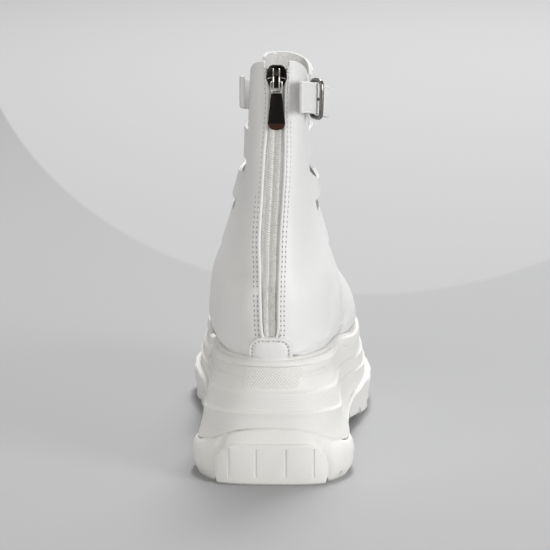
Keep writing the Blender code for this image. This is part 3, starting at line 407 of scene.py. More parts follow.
def tube_along(bm, path, radius, sides=10):
    """A round wire through places in metres, with flat ends."""
    rings, last = [], None
    for k, spot in enumerate(path):
        run = (path[min(k + 1, len(path) - 1)] - path[max(k - 1, 0)]).normalized()
        last = last or run.orthogonal()
        last = across = (last - run * last.dot(run)).normalized()
        wide = radius * MM
        rings.append(round_section(spot, across * wide, run.cross(across) * wide, sides))
    skin(bm, rings)


def bead(bm, spot, along, normal, sizes, sides=8):
    """An oval bead at a place: its half-sizes in mm along, across and off the surface."""
    across = normal.cross(along).normalized() * sizes[1] * MM
    along = across.cross(normal).normalized() * sizes[0] * MM
    off = normal.normalized() * sizes[2] * MM
    rings = []
    for step in range(1, 5):
        tilt = math.pi * step / 5
        wide = math.sin(tilt)
        section = round_section(spot + along * math.cos(tilt), across * wide, off * wide, sides)
        rings.append([bm.verts.new(point) for point in section])
    first, last = bm.verts.new(spot + along), bm.verts.new(spot - along)
    for i in range(sides):
        j = (i + 1) % sides
        bm.faces.new((first, rings[0][i], rings[0][j]))
        bm.faces.new((last, rings[-1][j], rings[-1][i]))
        for low, high in zip(rings, rings[1:]):
            bm.faces.new((low[i], high[i], high[j], low[j]))


def evenly(line, pitch):
    """Places this many mm apart along a line of (place, normal), with their directions."""
    found, carry = [], 0.0
    for (a, normal_a), (b, normal_b) in zip(line, line[1:]):
        run = (b - a).length / MM
        while carry < run:
            share = carry / run
            found.append((a.lerp(b, share), normal_a.lerp(normal_b, share), (b - a).normalized()))
            carry += pitch
        carry -= run
    return found


# The stitches' half-sizes, and those of the dark beads painted as needle-hole shade, in mm.
STITCH_SIZES, HOLE_SHADE_SIZES = (0.75, 0.26, 0.16), (0.5, 0.32, 0.12)


def sewn(name, lines, pitch=2.5, holes=True):
    """Rows of stitches along lines of (place, normal): threads, with dark beads between them as
    painted shade in the needle holes.
    """
    thread, holes_painted_shade = bmesh.new(), bmesh.new()
    for line in lines:
        for spot, normal, along in evenly(line, pitch):
            bead(thread, spot + along * (pitch / 2 * MM), along, normal, STITCH_SIZES)
            if holes:
                # a dark bead painted as the shade in the needle hole
                bead(holes_painted_shade, spot, along, normal, HOLE_SHADE_SIZES)
    finished(name, thread, THREAD, "upper_white")
    if holes:
        finished(name + "_holes", holes_painted_shade, HOLE_SHADE, "upper_white")
    else:
        holes_painted_shade.free()


# ---------------------------------------------------------------- the upper
ZIP_MIDDLE = (
    (64, -0.4), (74, -1.0), (88, -1.2), (100, -1.1), (112, -0.95), (124, -0.78), (140, -0.05),
    (156, 0.7), (174, 1.44), (196, 2.18), (217, 2.4),
)
# The middle of the foot and the shaft, as places (y, z) from the toe up to the collar.
SPINE = [Vector((0, y, z)) for y, z in (
    (235, 58), (200, 60), (160, 64), (125, 72), (95, 85), (75, 95), (64, 108), (60, 130),
    (57, 217),
)]

Trough = namedtuple("Trough", "start end width deep")
# Soft troughs (and, where deep is negative, bulges) pressed into the leather: their two ends, how
# wide they are and how deep. They were placed one by one.
TROUGHS = (
    Trough((-8.5, 8, 110), (-20, 17, 103), 4.5, 2.4),
    Trough((-9, 7, 101), (-18, 12, 95), 5.5, -1.4),
    Trough((8, 8, 108), (18, 15, 106), 4.0, 1.7),
    Trough((8, 7, 99), (19, 14, 95), 6.0, -0.7),
    Trough((15, 16, 93.5), (23, 22, 91.5), 2.0, 0.5),
    Trough((31, 40, 92), (33.5, 42, 74), 7.0, 1.6),
    Trough((33.5, 60, 104), (37, 62, 70), 6.0, 1.2),
    Trough((-7, 10, 150), (-13, 18, 146), 5.0, 0.45),
    Trough((9, 14, 168), (14, 26, 163), 5.0, 0.45),
)


def nearest_between(a, b, point):
    """The nearest place to the point on the straight run between two others."""
    near, share = intersect_point_line(point, a, b)
    return a if share < 0 else b if share > 1 else near


def spine_point(point):
    """The nearest place to this one on the spine."""
    best = None
    for a, b in zip(SPINE, SPINE[1:]):
        near = nearest_between(a, b, point)
        if best is None or (near - point).length < (best - point).length:
            best = near
    return best


COLLAR_FOOT, COLLAR_RISE = 196.0, 20.0   # where the collar's curved top begins, and its height
TAB_BACK, TAB_FOOT = 78.0, 190.0         # the front tab lies forward of the one, above the other
QUARTER_FRONT = 45.0                     # and the back of the quarter behind this


def trimmed(here):
    """The place after the top edges are cut to their curves: the front tab's and the quarter's."""
    if here.z < COLLAR_FOOT:
        return here
    up = (here.z - COLLAR_FOOT) / COLLAR_RISE
    across = here.x - read(ZIP_MIDDLE, here.z)
    if here.y > TAB_BACK:                # the tab leans and widens to the right, and falls there
        here.x += 0.7 * up + 2.6 * min(up * 1.4, 1.0) * clamp((across - 2) / 14)
        here.z -= 1.3 * up
        here.z -= 0.3 * up * max(across - 3.5, 0.0) ** 1.35
    elif here.y < QUARTER_FRONT:         # the quarter falls away from the zip
        here.z -= 0.05 * up * max(abs(across) - 7.5, 0.0) ** 2
    return here


STRAP_BACK, STRAP_FRONT = 12, 104        # the side straps' ends, in y
# The side straps: the heights of their lower and upper edges at the back and at the front, then
# how far those edges bow out, on the outer and the inner side, and how far the upper edge sinks.
Strap = namedtuple("Strap", "back front outer inner sink")
SIDE_STRAPS = (
    Strap((100, 124.5), (125, 139.5), (0.4, 0.6), (0.2, 0.6), (0.0, 0.0)),
    Strap((130.5, 149.5), (144.8, 159), (0.2, 2.2), (1.4, 2.4), (8.2, 3.4)),
    Strap((156, 174.2), (164, 178.7), (0.4, 0.6), (0.3, 0.9), (0.0, 0.0)),
)
# Where the quarter ends and the straps run free, by height, and where they meet the front strip.
FREE_FROM = ((95, 70), (115, 64), (140, 59), (165, 55), (190, 52))
FREE_TO = 96


def bowed(here):
    """The place after the side straps are bowed out between the quarter and the front strip."""
    behind = read(FREE_FROM, here.z)
    along = (here.y - behind) / (FREE_TO - behind)
    if not 0 < along < 1:
        return here
    outer = here.x > read(ZIP_MIDDLE, here.z)
    forward = (here.y - STRAP_BACK) / (STRAP_FRONT - STRAP_BACK)
    for strap in SIDE_STRAPS:
        low, high = (mix(strap.back[i], strap.front[i], forward) for i in (0, 1))
        up = (here.z - low) / (high - low)
        if -0.12 < up < 1.12:
            up = clamp(up)
            bow = math.sin(math.pi * along) ** 0.7
            push = mix(*(strap.outer if outer else strap.inner), up) * bow
            here.x += push if outer else -push
            here.z -= strap.sink[0 if outer else 1] * up ** 2 * bow
            break
    return here


BACK_FRONT = 40                          # the leather by the zip lies behind this
EDGE_TOP = 203                           # and its edges are drawn back up to this height
EDGE_REACH, EDGE_FADE = 15, 10           # how far from the zip the leather moves, and fades out
# How far the leather's edges by the zip stand back from the solid's, by height: left and right.
EDGE_BACK = {
    -1: ((68, 0.0), (78, 0.9), (100, 1.3), (124, 1.95), (171, 1.75), (190, 0.5), (203, 0.0)),
    1: ((68, 0.0), (78, 1.3), (100, 1.25), (124, 1.15), (171, 1.75), (190, 0.8), (203, 0.0)),
}


def opened(here):
    """The place after the leather's edges by the zip are drawn back a little from its middle."""
    if here.y > BACK_FRONT or here.z > EDGE_TOP:
        return here
    across = here.x - read(ZIP_MIDDLE, here.z)
    side = 1 if across > 0 else -1
    share = clamp((EDGE_REACH - abs(across)) / EDGE_FADE)
    here.x += side * read(EDGE_BACK[side], here.z) * share
    return here


def pressed(spot):
    """The place after the troughs: each moves the leather towards the spine, both faces alike."""
    here = opened(bowed(trimmed(sizes_of(spot))))
    spot = place(*here)
    deep = 0.0
    for trough in TROUGHS:
        near = nearest_between(Vector(trough.start), Vector(trough.end), here)
        deep += trough.deep * math.exp(-((here - near).length / trough.width) ** 2)
    if abs(deep) < 0.01:
        return spot
    inwards = spine_point(here) - here
    inwards.z *= 0.2                     # the leather moves nearly level
    return spot + inwards.normalized() * deep * MM


FOOT_TOP, FOOT_FRONT = 86, 205           # the leather's foot: below the one, behind the other
CUTS_FROM = 60                           # its cut edges lie forward of this
ZIP_CLEAR = 9                            # and the zip's opening within this of the middle


def evened(piece):
    """Smooths the leather's foot above the lip, away from the zip and the cut edges."""
    bm = bmesh.new()
    bm.from_mesh(piece.data)
    low = []
    for vert in bm.verts:
        here = sizes_of(vert.co)
        sharp = any(edge.calc_face_angle(1) > 0.5 for edge in vert.link_edges)
        cut = here.y > CUTS_FROM and sharp
        if here.z < FOOT_TOP and here.y < FOOT_FRONT and abs(here.x + 1) > ZIP_CLEAR and not cut:
            low.append(vert)
    for _ in range(10):
        bmesh.ops.smooth_vert(
            bm, verts=low, factor=0.5, use_axis_x=True, use_axis_y=True, use_axis_z=True,
        )
    bm.to_mesh(piece.data)
    bm.free()


def upper():
    """The leather: its edges rounded, its straps bowed and its creases pressed, lined inside."""
    bm = copied("upper")
    round_edges(bm, 0.55, 2)
    piece = finished("leather_upper", bm, (LEATHER, LINING), "upper_white", "upper", smooth=0)
    subdivided(piece, 1)
    evened(piece)
    reshaped(piece, pressed)
    for face in piece.data.polygons:
        middle = sizes_of(face.center)
        outwards = middle - spine_point(middle)
        inner = face.normal.dot(outwards.normalized()) < -0.35
        if middle.z > TAB_FOOT and middle.y > TAB_BACK:
            inner = face.normal.y < 0.1
        face.material_index = 1 if inner else 0
    return piece


def zip_edge(tree, side, z):
    """How far from the zip's middle the leather begins at this height."""
    middle = read(ZIP_MIDDLE, z)
    for step in range(20, 140):
        if seen_from_back(tree, middle + side * step * 0.1, z):
            return step * 0.1
    return 14.0


ROW_FOOT, ROW_STEP = 74.6, 1.25
# The rows of stitches by the zip: the side, how far from the leather's edge, and the top.
ZIP_ROWS = ((-1, 1.1, 213), (-1, 2.85, 148), (1, 0.95, 213), (1, 2.6, 186))


def rows_by_the_zip(tree):
    """Lines of (place, normal) for the stitches beside the zip."""
    lines = []
    for side, offset, top in ZIP_ROWS:
        line = []
        z = ROW_FOOT
        while z < top:
            across = side * (zip_edge(tree, side, z) + offset)
            found = seen_from_back(tree, read(ZIP_MIDDLE, z) + across, z)
            if found:
                line.append(found)
            z += ROW_STEP
        lines.append(line)
    return lines


FOLDS = ((-1, 0.95), (1, 0.75))          # the side, and the fold's radius


def zip_folds(tree):
    """The rolled, folded edges of the leather beside the zip."""
    bm = bmesh.new()
    for side, radius in FOLDS:
        path = []
        for z in range(73, 216, 3):
            out = sum(zip_edge(tree, side, z + k) for k in (-1.5, 0, 1.5)) / 3 + 0.35
            found = seen_from_back(tree, read(ZIP_MIDDLE, z) + side * out, z)
            if found:
                path.append(found[0] + Vector((-side * 0.55, radius - 1.25, 0)) * MM)
        tube_along(bm, eased(path, 2), radius, 12)
    subdivided(finished("zip_folds", bm, LEATHER, "upper_white"), 1)


TAB_LEFT, TAB_RIGHT, TAB_STEPS = -6.5, 21.0, 56
TAB_ROW_BELOW = 2.9                      # the stitches' distance below the tab's top edge


def tab_top(tree, x):
    """The place on the tab's top edge at this x, seen from inside the shaft, and its height."""
    z = 216.0
    while z > COLLAR_FOOT:
        spot, _, _, _ = tree.ray_cast(place(x, 60, z), FORWARD)
        if spot:
            return spot, z
        z -= 0.2
    return None, z


def tab_edge_and_row(tree):
    """The front tab's rolled top edge. Returns the line of stitches below it, on its lining."""
    line, edge = [], []
    for k in range(TAB_STEPS + 1):
        x = mix(TAB_LEFT, TAB_RIGHT, k / TAB_STEPS)
        spot, z = tab_top(tree, x)
        if spot:
            edge.append(spot + Vector((0, 0.7, -0.7)) * MM)
        row_spot = place(x * 0.93 + 0.4, 60, z - TAB_ROW_BELOW)
        spot, normal, _, _ = tree.ray_cast(row_spot, FORWARD)
        if spot:
            line.append((spot, normal))
    bm = bmesh.new()
    tube_along(bm, eased(edge, 4), 0.8, 12)
    subdivided(finished("tab_edge", bm, LEATHER, "upper_white"), 1)
    return line


UPPER = surface(upper())
sewn("zip_stitches", rows_by_the_zip(UPPER), 2.55)
sewn("tab_stitches", [tab_edge_and_row(UPPER)], 2.55)
zip_folds(UPPER)


# ---------------------------------------------------------------- the zip and its slider
TAPE_TOP = 207.0                         # the tape is cut lower from here up


def zip_tape():
    """The zip's tape and band, cut lower behind the slider's crown."""
    piece = carried("zip", "zip_tape", TAPE, "zip_grey", 0.12, 1)
    for vert in piece.data.vertices:
        here = sizes_of(vert.co)
        if here.z > TAPE_TOP:
            vert.co.z -= (here.z - TAPE_TOP) * 0.75 * MM
    piece.data.update()


RIB_FOOT, RIB_TOP, RIB_PITCH = 74.9, 205.0, 1.2
RIB_SIZES, RIB_SLANT = (1.45, 0.36, 0.7), 0.62
RIB_PROUD = 0.42                         # how far the ribs' middles stand off the band
BAND_HALF = 1.8                          # where the band is felt for, either side of its middle
RIB_COLUMNS = ((-1, -1.7), (1, 2.05))    # the side, and the column's middle
# The woven band's section, across from its middle and forward from the ribs' middles.
WEAVE_SECTION = ((-5.4, 1.17), (-3.05, 0.57), (-0.35, 0.52), (0.7, 0.52), (3.4, 0.57),
                 (5.4, 1.17), (5.4, 1.5), (-5.4, 1.5))


def zip_teeth():
    """Two columns of fine slanting ribs on the zip's raised band, and the weave under them, painted
    darker in its middle as the shade between and under the ribs.
    """
    band = surface(frame["nodes"]["zip"])
    ribs = bmesh.new()
    sections = []
    z = RIB_FOOT
    while z < RIB_TOP:
        middle = read(ZIP_MIDDLE, z)
        for side, across in RIB_COLUMNS:
            found = seen_from_back(band, middle + side * BAND_HALF, z)
            if found:
                spot, normal = found
                spot = spot + Vector((across - side * BAND_HALF, -RIB_PROUD, 0)) * MM
                along = Vector((side, 0, RIB_SLANT)).normalized()
                bead(ribs, spot, along, normal, RIB_SIZES)
                face = sizes_of(spot).y
        sections.append([place(middle + x, face + off, z) for x, off in WEAVE_SECTION])
        z += RIB_PITCH
    finished("zip_ribs", ribs, TEETH, "zip_grey")
    piece = finished("zip_weave_painted_shade", ring_body(sections), (TAPE, WEAVE_SHADE), "zip_grey")
    for face in piece.data.polygons:
        here = sizes_of(face.center)
        across = here.x - read(ZIP_MIDDLE, here.z)
        # the weave's middle, between and under the ribs, gets the darker painted shade
        face.material_index = 1 if -3.0 < across < 3.35 else 0


STOP_FOOT = 210.6
STOP_BEADS = ((0.0, 0.9), (1.6, 1.2), (3.1, 1.5))    # how far up each is, and its half-length


def end_stops():
    """The clear stops at both sides of the zip's top: three beads each, wider upwards."""
    bm = bmesh.new()
    for side in (-1, 1):
        for up, wide in STOP_BEADS:
            x = read(ZIP_MIDDLE, 214) + side * (5.3 + 0.25 * up)
            spot = place(x, 12.6 + 0.2 * up, STOP_FOOT + up)
            along = Vector((0.9 * side, 0, 0.6))
            bead(bm, spot, along, -FORWARD, (wide, 0.8, 0.8), 10)
    finished("zip_end_stops", bm, CLEAR, "zip_grey")


zip_tape()
zip_teeth()
end_stops()

SLIDER_LOW, SLIDER_HIGH = (sizes_of(corner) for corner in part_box("zip_slider"))
SLIDER_X = (SLIDER_LOW.x + SLIDER_HIGH.x) / 2
RAIL_ACROSS, RAIL_FOOT = 1.5, 203.9
# The bridge's rail, forward from the slider's back and up, and the ledges, across and up.
RAIL = ((3.5, 213.2), (1.6, 211.8), (0.1, 209.8), (-0.1, 205.2), (0.5, RAIL_FOOT))
LEDGE = ((1.9, 208.9), (3.4, 208.8), (4.7, 208.3))


def slider_trim():
    """The silver rails of the slider's bridge, and the ledges beside it."""
    bm = bmesh.new()
    back = SLIDER_LOW.y
    for side in (-1, 1):
        path = [place(SLIDER_X + side * RAIL_ACROSS, back + y, z) for y, z in RAIL]
        tube_along(bm, path, 0.42)
    sill = [place(SLIDER_X + x, back + 0.2, RAIL_FOOT) for x in (-1.5, -0.5, 0.5, 1.5)]
    tube_along(bm, sill, 0.42)
    for side in (-1, 1):
        path = [place(SLIDER_X + side * x, back + 3.7, z) for x, z in LEDGE]
        tube_along(bm, path, 0.3)
    finished("slider_rails", bm, SILVER, "gunmetal")


slider_trim()
carried("zip_slider", "slider_body", GUNMETAL, "gunmetal", 0.5, 0, 3)


PIVOT = Vector(frame["record"]["behaviour"]["joints"][0]["pos_m"])
PULL_LEAN = math.radians(5)
# Below this the tab's end is coloured with the painted warm reflection.
REFLECTION_FROM = 21.2                       # the tab's warm end begins this far below the pivot
# How far below the pivot the tab is measured, its half-width there, and its outer face.
TAB_SHAPE = (
    (6.1, 2.3, 0.45), (6.3, 2.75, 0.7), (6.9, 2.85, 0.75), (11.5, 3.3, 0.75), (17.0, 3.95, 0.75),
    (21.0, 4.4, 0.75), (21.4, 4.42, 0.70), (22.6, 4.2, 0.45), (23.6, 3.7, 0.22), (24.4, 2.95, 0.05),
    (24.85, 1.9, -0.1), (25.0, 0.8, -0.25),
)


def hanging(x, off, down):
    """A place on the pull: across, off its middle plane to the back, and down from the pivot."""
    return PIVOT + Vector((
        x, -off * math.cos(PULL_LEAN) + down * math.sin(PULL_LEAN),
        -down * math.cos(PULL_LEAN) - off * math.sin(PULL_LEAN),
    )) * MM


def pull_tab():
    """The polished tab, with bevelled edges and a warm painted reflection of the floor on its end.
    """
    rings = []
    for down, half, face in TAB_SHAPE:
        r = min(0.35, half * 0.3)
        rings.append([hanging(x, off, down) for x, off in (
            (-half, -0.5), (-half, face - r), (-half + r * 0.3, face - r * 0.3), (-half + r, face),
            (half - r, face), (half - r * 0.3, face - r * 0.3), (half, face - r), (half, -0.5),
            (half - r, -0.75), (-half + r, -0.75))])
    piece = finished("pull_tab", ring_body(rings), (GUNMETAL, PAINTED_TIP_REFLECTION), "gunmetal", "zip_pull",
                     body="pull", smooth=28)
    for face in piece.data.polygons:
        # the end facet gets the painted warm reflection
        if (PIVOT.z - face.center.z) / MM > REFLECTION_FROM:
            face.material_index = 1


# The pull's wire loop: its corners across and down from the pivot, with the turn each ends at.
LOOP_CORNERS = ((2.65, -0.3, 90), (-2.65, -0.3, 180), (-2.65, 5.4, 270), (2.65, 5.4, 360))
LOOP_BEND, LOOP_WIRE = 0.8, 0.6


def pull_loop():
    """The silver loop between the slider's bridge and the tab."""
    bm = bmesh.new()
    path = []
    for x, down, turned in LOOP_CORNERS:
        middle_x = x - math.copysign(LOOP_BEND, x)
        middle_down = down + (LOOP_BEND if down < 2 else -LOOP_BEND)
        for turn in (turned - 90, turned - 45, turned):
            angle = math.radians(turn)
            path.append(hanging(
                middle_x + LOOP_BEND * math.cos(angle), 0,
                middle_down - LOOP_BEND * math.sin(angle),
            ))
    tube_along(bm, path + path[:2], LOOP_WIRE)
    finished("pull_loop", bm, SILVER, "gunmetal", body="pull")


pull_tab()
pull_loop()


# ---------------------------------------------------------------- the heel patch
PATCH_HALF, PATCH_TOP, PATCH_CORNER, PATCH_LOW = 11.4, 76.0, 6.8, 62.4
PATCH_SEAM = 2.1                         # how far in from the patch's edge its stitches run
# How far the patch stands out, against how far in from its edge: a rolled edge, a groove with
# the stitches, and a cushioned middle.
PATCH_RISE = (
    (0, -0.3), (0.01, 0.9), (0.3, 1.55), (0.85, 1.85), (1.4, 1.6), (1.75, 1.1), (PATCH_SEAM, 0.85),
    (2.5, 1.05), (3.0, 1.35), (4.2, 1.5), (6.5, 1.6), (9.0, 1.65), (PATCH_HALF, 1.65),
)


def patch_arch(inset, steps=44):
    """The patch's outline, this far in from its edge: up one side, over the top and down."""
    half, top = PATCH_HALF - inset, PATCH_TOP - inset
    corner = min(max(PATCH_CORNER - inset, 0.05), half)
    side = max(top - corner - PATCH_LOW, 0.01)
    arc, flat = corner * math.pi / 2, half - corner
    whole = 2 * (side + arc + flat)
    points = []
    for k in range(steps + 1):
        gone = whole * k / steps
        mirror, gone = (1, whole - gone) if gone > whole / 2 else (-1, gone)
        if gone < side:
            x, z = half, PATCH_LOW + gone
        elif gone < side + arc:
            turn = (gone - side) / corner
            x = half - corner + corner * math.cos(turn)
            z = top - corner + corner * math.sin(turn)
        else:
            x, z = half - corner - (gone - side - arc), top
        points.append((mirror * x, z))
    return points


def heel_face(x, z):
    """The leather's outer face on the heel, in y: read lower down where the zip is open."""
    middle = read(ZIP_MIDDLE, z)
    for height in (z, 72.6, 71.0, 69.0):
        found = seen_from_back(UPPER, middle + x, height)
        if found and sizes_of(found[0]).y < 20:
            return sizes_of(found[0]).y
    return 8.0 + x * x / 50


def heel_patch():
    """The rounded patch over the zip's foot, cushioned and sewn, with its rolled edge."""
    base = {}

    def spot(x, z, rise):
        key = round(abs(x), 1), round(z, 1)
        if key not in base:
            base[key] = (heel_face(x, z) + heel_face(-x, z)) / 2
        return place(read(ZIP_MIDDLE, 70) + x, base[key] - 0.35 - rise, z)

    bm = bmesh.new()
    rows = [
        [bm.verts.new(spot(x, z, rise)) for x, z in patch_arch(inset)] for inset, rise in PATCH_RISE
    ]
    for low, high in zip(rows, rows[1:]):
        for i in range(len(low) - 1):
            bm.faces.new((low[i], low[i + 1], high[i + 1], high[i]))
    bm.faces.new(reversed(rows[0]))
    bmesh.ops.remove_doubles(bm, verts=bm.verts, dist=1e-6)
    bmesh.ops.recalc_face_normals(bm, faces=bm.faces)
    finished("heel_patch", bm, LEATHER, "upper_white", "heel_tab", smooth=60)
    seam = [
        (spot(x, z, 0.95), Vector((x * 0.02, -1, 0)).normalized())
        for x, z in patch_arch(PATCH_SEAM)
    ]
    sewn("patch_stitches", [seam], 2.0)


heel_patch()


# ---------------------------------------------------------------- the ankle strap
# The strap's middle line, from its free end at the back, round the front, to the inner side.
STRAP_LINE = (
    (12.6, 10.2, 199.2), (16.0, 19.5, 197.8), (20.0, 30.0, 195.6), (23.2, 41.0, 193.2),
    (25.0, 53.0, 191.0), (24.2, 67.0, 188.6), (21.4, 83.0, 187.0), (14.6, 96.8, 186.6),
    (2.4, 102.6, 187.0), (-10.5, 98.6, 188.0), (-17.4, 84.0, 190.4), (-19.6, 69.0, 193.0),
    (-19.7, 55.0, 195.8), (-18.8, 44.0, 197.6), (-17.9, 34.0, 198.4),
)
STRAP_ENDS = len(STRAP_LINE) - 1
SHAFT_MIDDLE = ((174, 1.44), (185, 1.9), (196, 2.2), (217, 2.4))
STRAP_SEAM = 6.3                         # how far above and below the middle the stitches run
LAYER_FACE, SEAM_GROOVE = 1.02, 0.28     # a layer's thickness, and its groove for the stitches
TIP_THIN, TIP_LOW, TIP_LONG = 0.55, 0.985, 0.35  # how the layers draw in, and run on, at their ends


def strap_spot(at):
    """A place on the strap's middle line, in sizes (a Catmull-Rom curve)."""
    k = min(int(at), STRAP_ENDS - 1)
    t = at - k
    a, b, c, d = (STRAP_LINE[min(max(k + i, 0), STRAP_ENDS)] for i in (-1, 0, 1, 2))
    spot = Vector(
        0.5 * (2 * q + (r - p) * t + (2 * p - 5 * q + 4 * r - s) * t * t
               + (3 * q - p - 3 * r + s) * t ** 3)
        for p, q, r, s in zip(a, b, c, d)
    )
    return spot + Vector((read(SHAFT_MIDDLE, spot.z), 0, 0))


def strap_frame(at):
    """The middle, the outward direction and the run of the strap at a place along it."""
    ahead, behind = strap_spot(min(at + 0.05, STRAP_ENDS)), strap_spot(max(at - 0.05, 0))
    run = (ahead - behind).normalized()
    return strap_spot(at), Vector((run.y, -run.x, 0)).normalized(), run


def layer_section(groove):
    """One layer's section: up the strap, and how far off its middle plane."""
    lower = [(7.75, 0.02), (8.0, 0.4), (7.9, 0.8), (7.4, LAYER_FACE), (6.9, LAYER_FACE),
             (STRAP_SEAM, 1.0 - groove), (5.7, LAYER_FACE), (2.5, 1.05)]
    return [(-up, off) for up, off in lower] + lower[::-1]


def ankle_strap():
    """Two layers of leather, glued and sewn round their edges."""
    bm = bmesh.new()
    steps = 4 * STRAP_ENDS
    for side, groove in ((1, SEAM_GROOVE), (-1, 0.0)):
        section = layer_section(groove)
        rings = []
        for k in range(-1, steps + 2):
            middle, outwards, run = strap_frame(min(max(k, 0), steps) / 4)
            tip = k in (-1, steps + 1)
            thin, low = (TIP_THIN, TIP_LOW) if tip else (1.0, 1.0)
            if tip:
                middle = middle + run * math.copysign(TIP_LONG, k)
            rings.append([
                place(*(middle + outwards * side * off * thin + up_by(up * low)))
                for up, off in section
            ])
        skin(bm, rings)
    bmesh.ops.recalc_face_normals(bm, faces=bm.faces)
    finished("strap_leather", bm, LEATHER, "upper_white", "ankle_strap", smooth=50)
    lines = []
    for up in (-STRAP_SEAM, STRAP_SEAM):
        line = []
        for k in range(3, 4 * steps - 2):
            middle, outwards, _ = strap_frame(k / 16)
            line.append((place(*(middle + outwards * 0.72 + up_by(up))), outwards))
        lines.append(line)
    sewn("strap_stitches", lines, 2.6, holes=False)


ankle_strap()
carried("buckle", "buckle_wire", CHROME, "chrome", 0.1, 1)
carried("buckle_prong", "prong_wire", CHROME, "chrome", 0.1, 1)
carried("buckle_tab", "buckle_loop", LEATHER, "upper_white", 0.3, 1)


# ---------------------------------------------------------------- the sole
MIDSOLE = surface(carried("midsole", "foam_midsole", FOAM, "sole_white", 0.45, 1, 2))
FAR_OUT = 90.0                           # rays towards the shoe start this far from its middle
LIP_STEP, ROLL_RADIUS = 0.4, 1.8
LIP_MIDDLE = ((60, 0), (200, 4))         # the foot's middle (x) by y


def lip_beyond(leather, outwards):
    """The heights of the midsole at small steps outwards from a place on the leather."""
    tops = []
    for step in range(1, 14):
        above = leather + (outwards * step * LIP_STEP + up_by(60)) * MM
        lip, _, _, _ = MIDSOLE.ray_cast(above, Vector((0, 0, -1)))
        tops.append(sizes_of(lip).z if lip else 0)
    return tops


def roll_spot(middle, outwards):
    """The middle of the lip's roll in this direction, in sizes, if the leather is met there."""
    height, foot = 66.0, None
    for _ in range(4):
        start = place(*(middle + outwards * FAR_OUT + up_by(height + 1.5)))
        leather, _, _, _ = UPPER.ray_cast(start, -outwards)
        if leather is None:
            break
        tops = lip_beyond(leather, outwards)
        height = max(tops)
        edge = next(k for k, top in enumerate(tops) if top > height - 0.8) * LIP_STEP
        foot = sizes_of(leather) + outwards * max(edge - 0.5, 0.5)
    return None if foot is None else Vector((foot.x, foot.y, height - 0.4))


def lip_roll():
    """The soft roll at the lip's inner edge, where the leather goes down into the sole."""
    rays = [(Vector((-1, 0, 0)), y) for y in range(196, 64, -4)]
    for degrees in range(0, 181, 3):
        turn = math.radians(degrees)
        rays.append((Vector((-math.cos(turn), -math.sin(turn), 0)), 62))
    rays += [(Vector((1, 0, 0)), y) for y in range(66, 200, 4)]
    path = []
    for outwards, y in rays:
        spot = roll_spot(Vector((read(LIP_MIDDLE, y), y, 0)), outwards)
        if spot is not None:
            path.append(spot)
    bm = bmesh.new()
    tube_along(bm, [place(*spot) for spot in eased(path, 2)], ROLL_RADIUS, 14)
    subdivided(finished("lip_roll", bm, FOAM, "sole_white"), 1)


lip_roll()

LOBE_TURN_Y, LOBE_SLOT = 46.0, 0.06      # the heel's lobes turn about this place, in such steps
LOBE_FROM_X, LOBE_TOP = 29.0, 27.0       # further out than the one, and below the other
RIM_NEAREST, RIM_TOP = 38.0, 20.0        # their rim is read beyond the one, and below the other
LOBE_PROUD = 1.2
DRAWN_IN, DRAWN_BELOW = 0.055, 9.0       # their foot draws in by this share, from this height down


def rounded_lobes(bm):
    """Fills the dips at the heel's sides into one soft lobe each, proud at its middle height."""
    outer = {}
    side = []
    for vert in bm.verts:
        here = sizes_of(vert.co)
        back = LOBE_TURN_Y - here.y
        turn, radius = math.atan2(here.x, back), math.hypot(here.x, back)
        if here.z < LOBE_TOP and back > 0 and abs(here.x) > LOBE_FROM_X and radius > RIM_NEAREST:
            slot = round(turn / LOBE_SLOT)
            side.append((vert, here, turn, radius, slot))
            if here.z < RIM_TOP:
                outer[slot] = max(outer.get(slot, 0), radius)
    for vert, here, turn, radius, slot in side:
        most = [outer[slot + k] for k in range(-3, 4) if slot + k in outer]
        full = sum(most) / len(most) + 0.3 if most else radius
        if radius <= full * 0.8:
            continue
        foot = 1 - max(1 - here.z / DRAWN_BELOW, 0.0) ** 2 * DRAWN_IN
        bulge = LOBE_PROUD * math.sin(math.pi * clamp(here.z / LOBE_TOP))
        share = 0.95 * min((LOBE_TURN_Y - here.y) / 10, 1.0)
        share *= min((abs(here.x) - LOBE_FROM_X) / 3, 1.0) * clamp((20.5 - here.z) / 8)
        wanted = mix(radius, (full + bulge) * foot, share)
        vert.co = place(math.sin(turn) * wanted, LOBE_TURN_Y - math.cos(turn) * wanted, here.z)


def in_groove(edge):
    """Whether the edge lies in one of the heel block's grooves."""
    ends = [sizes_of(vert.co) for vert in edge.verts]
    return all(end.y < 3 and 4.0 < end.z < 19.2 and abs(end.x) < 24 for end in ends)


SEAM_FROM = 19.0                         # the outsole's upper edges meet the midsole above this
SEAM_REACH, SEAM_OVERLAP = 1.3, 0.15     # from this near, they are drawn this far into it


def outsole():
    """The outsole, its grooves rounded less than its other edges, closed against the midsole."""
    bm = copied("outsole")
    round_edges(bm, 0.6, 2, 28, lambda edge: not in_groove(edge))
    round_edges(bm, 0.36, 2, 28, in_groove)
    rounded_lobes(bm)
    piece = finished("rubber_outsole", bm, RUBBER, "sole_white", "outsole", smooth=50)
    for vert in piece.data.vertices:
        near, _, _, distance = MIDSOLE.find_nearest(vert.co, SEAM_REACH * MM)
        if sizes_of(vert.co).z > SEAM_FROM and near is not None and distance > 1e-7:
            vert.co += (near - vert.co) * (1 + SEAM_OVERLAP * MM / distance)
    piece.data.update()


outsole()

HEEL_TURN = Vector((0, 40, 0))


def on_heel(turn, z):
    """The place and normal on the midsole's side at this turn from the back and this height."""
    outwards = Vector((math.sin(turn), -math.cos(turn), 0))
    start = place(*(HEEL_TURN + outwards * FAR_OUT + up_by(z)))
    spot, normal, _, _ = MIDSOLE.ray_cast(start, -outwards)
    return spot, normal


KNURL_ROWS, STUD_PITCH, STUD_SIZES = 11, 1.5, (0.74, 0.4, 0.34)


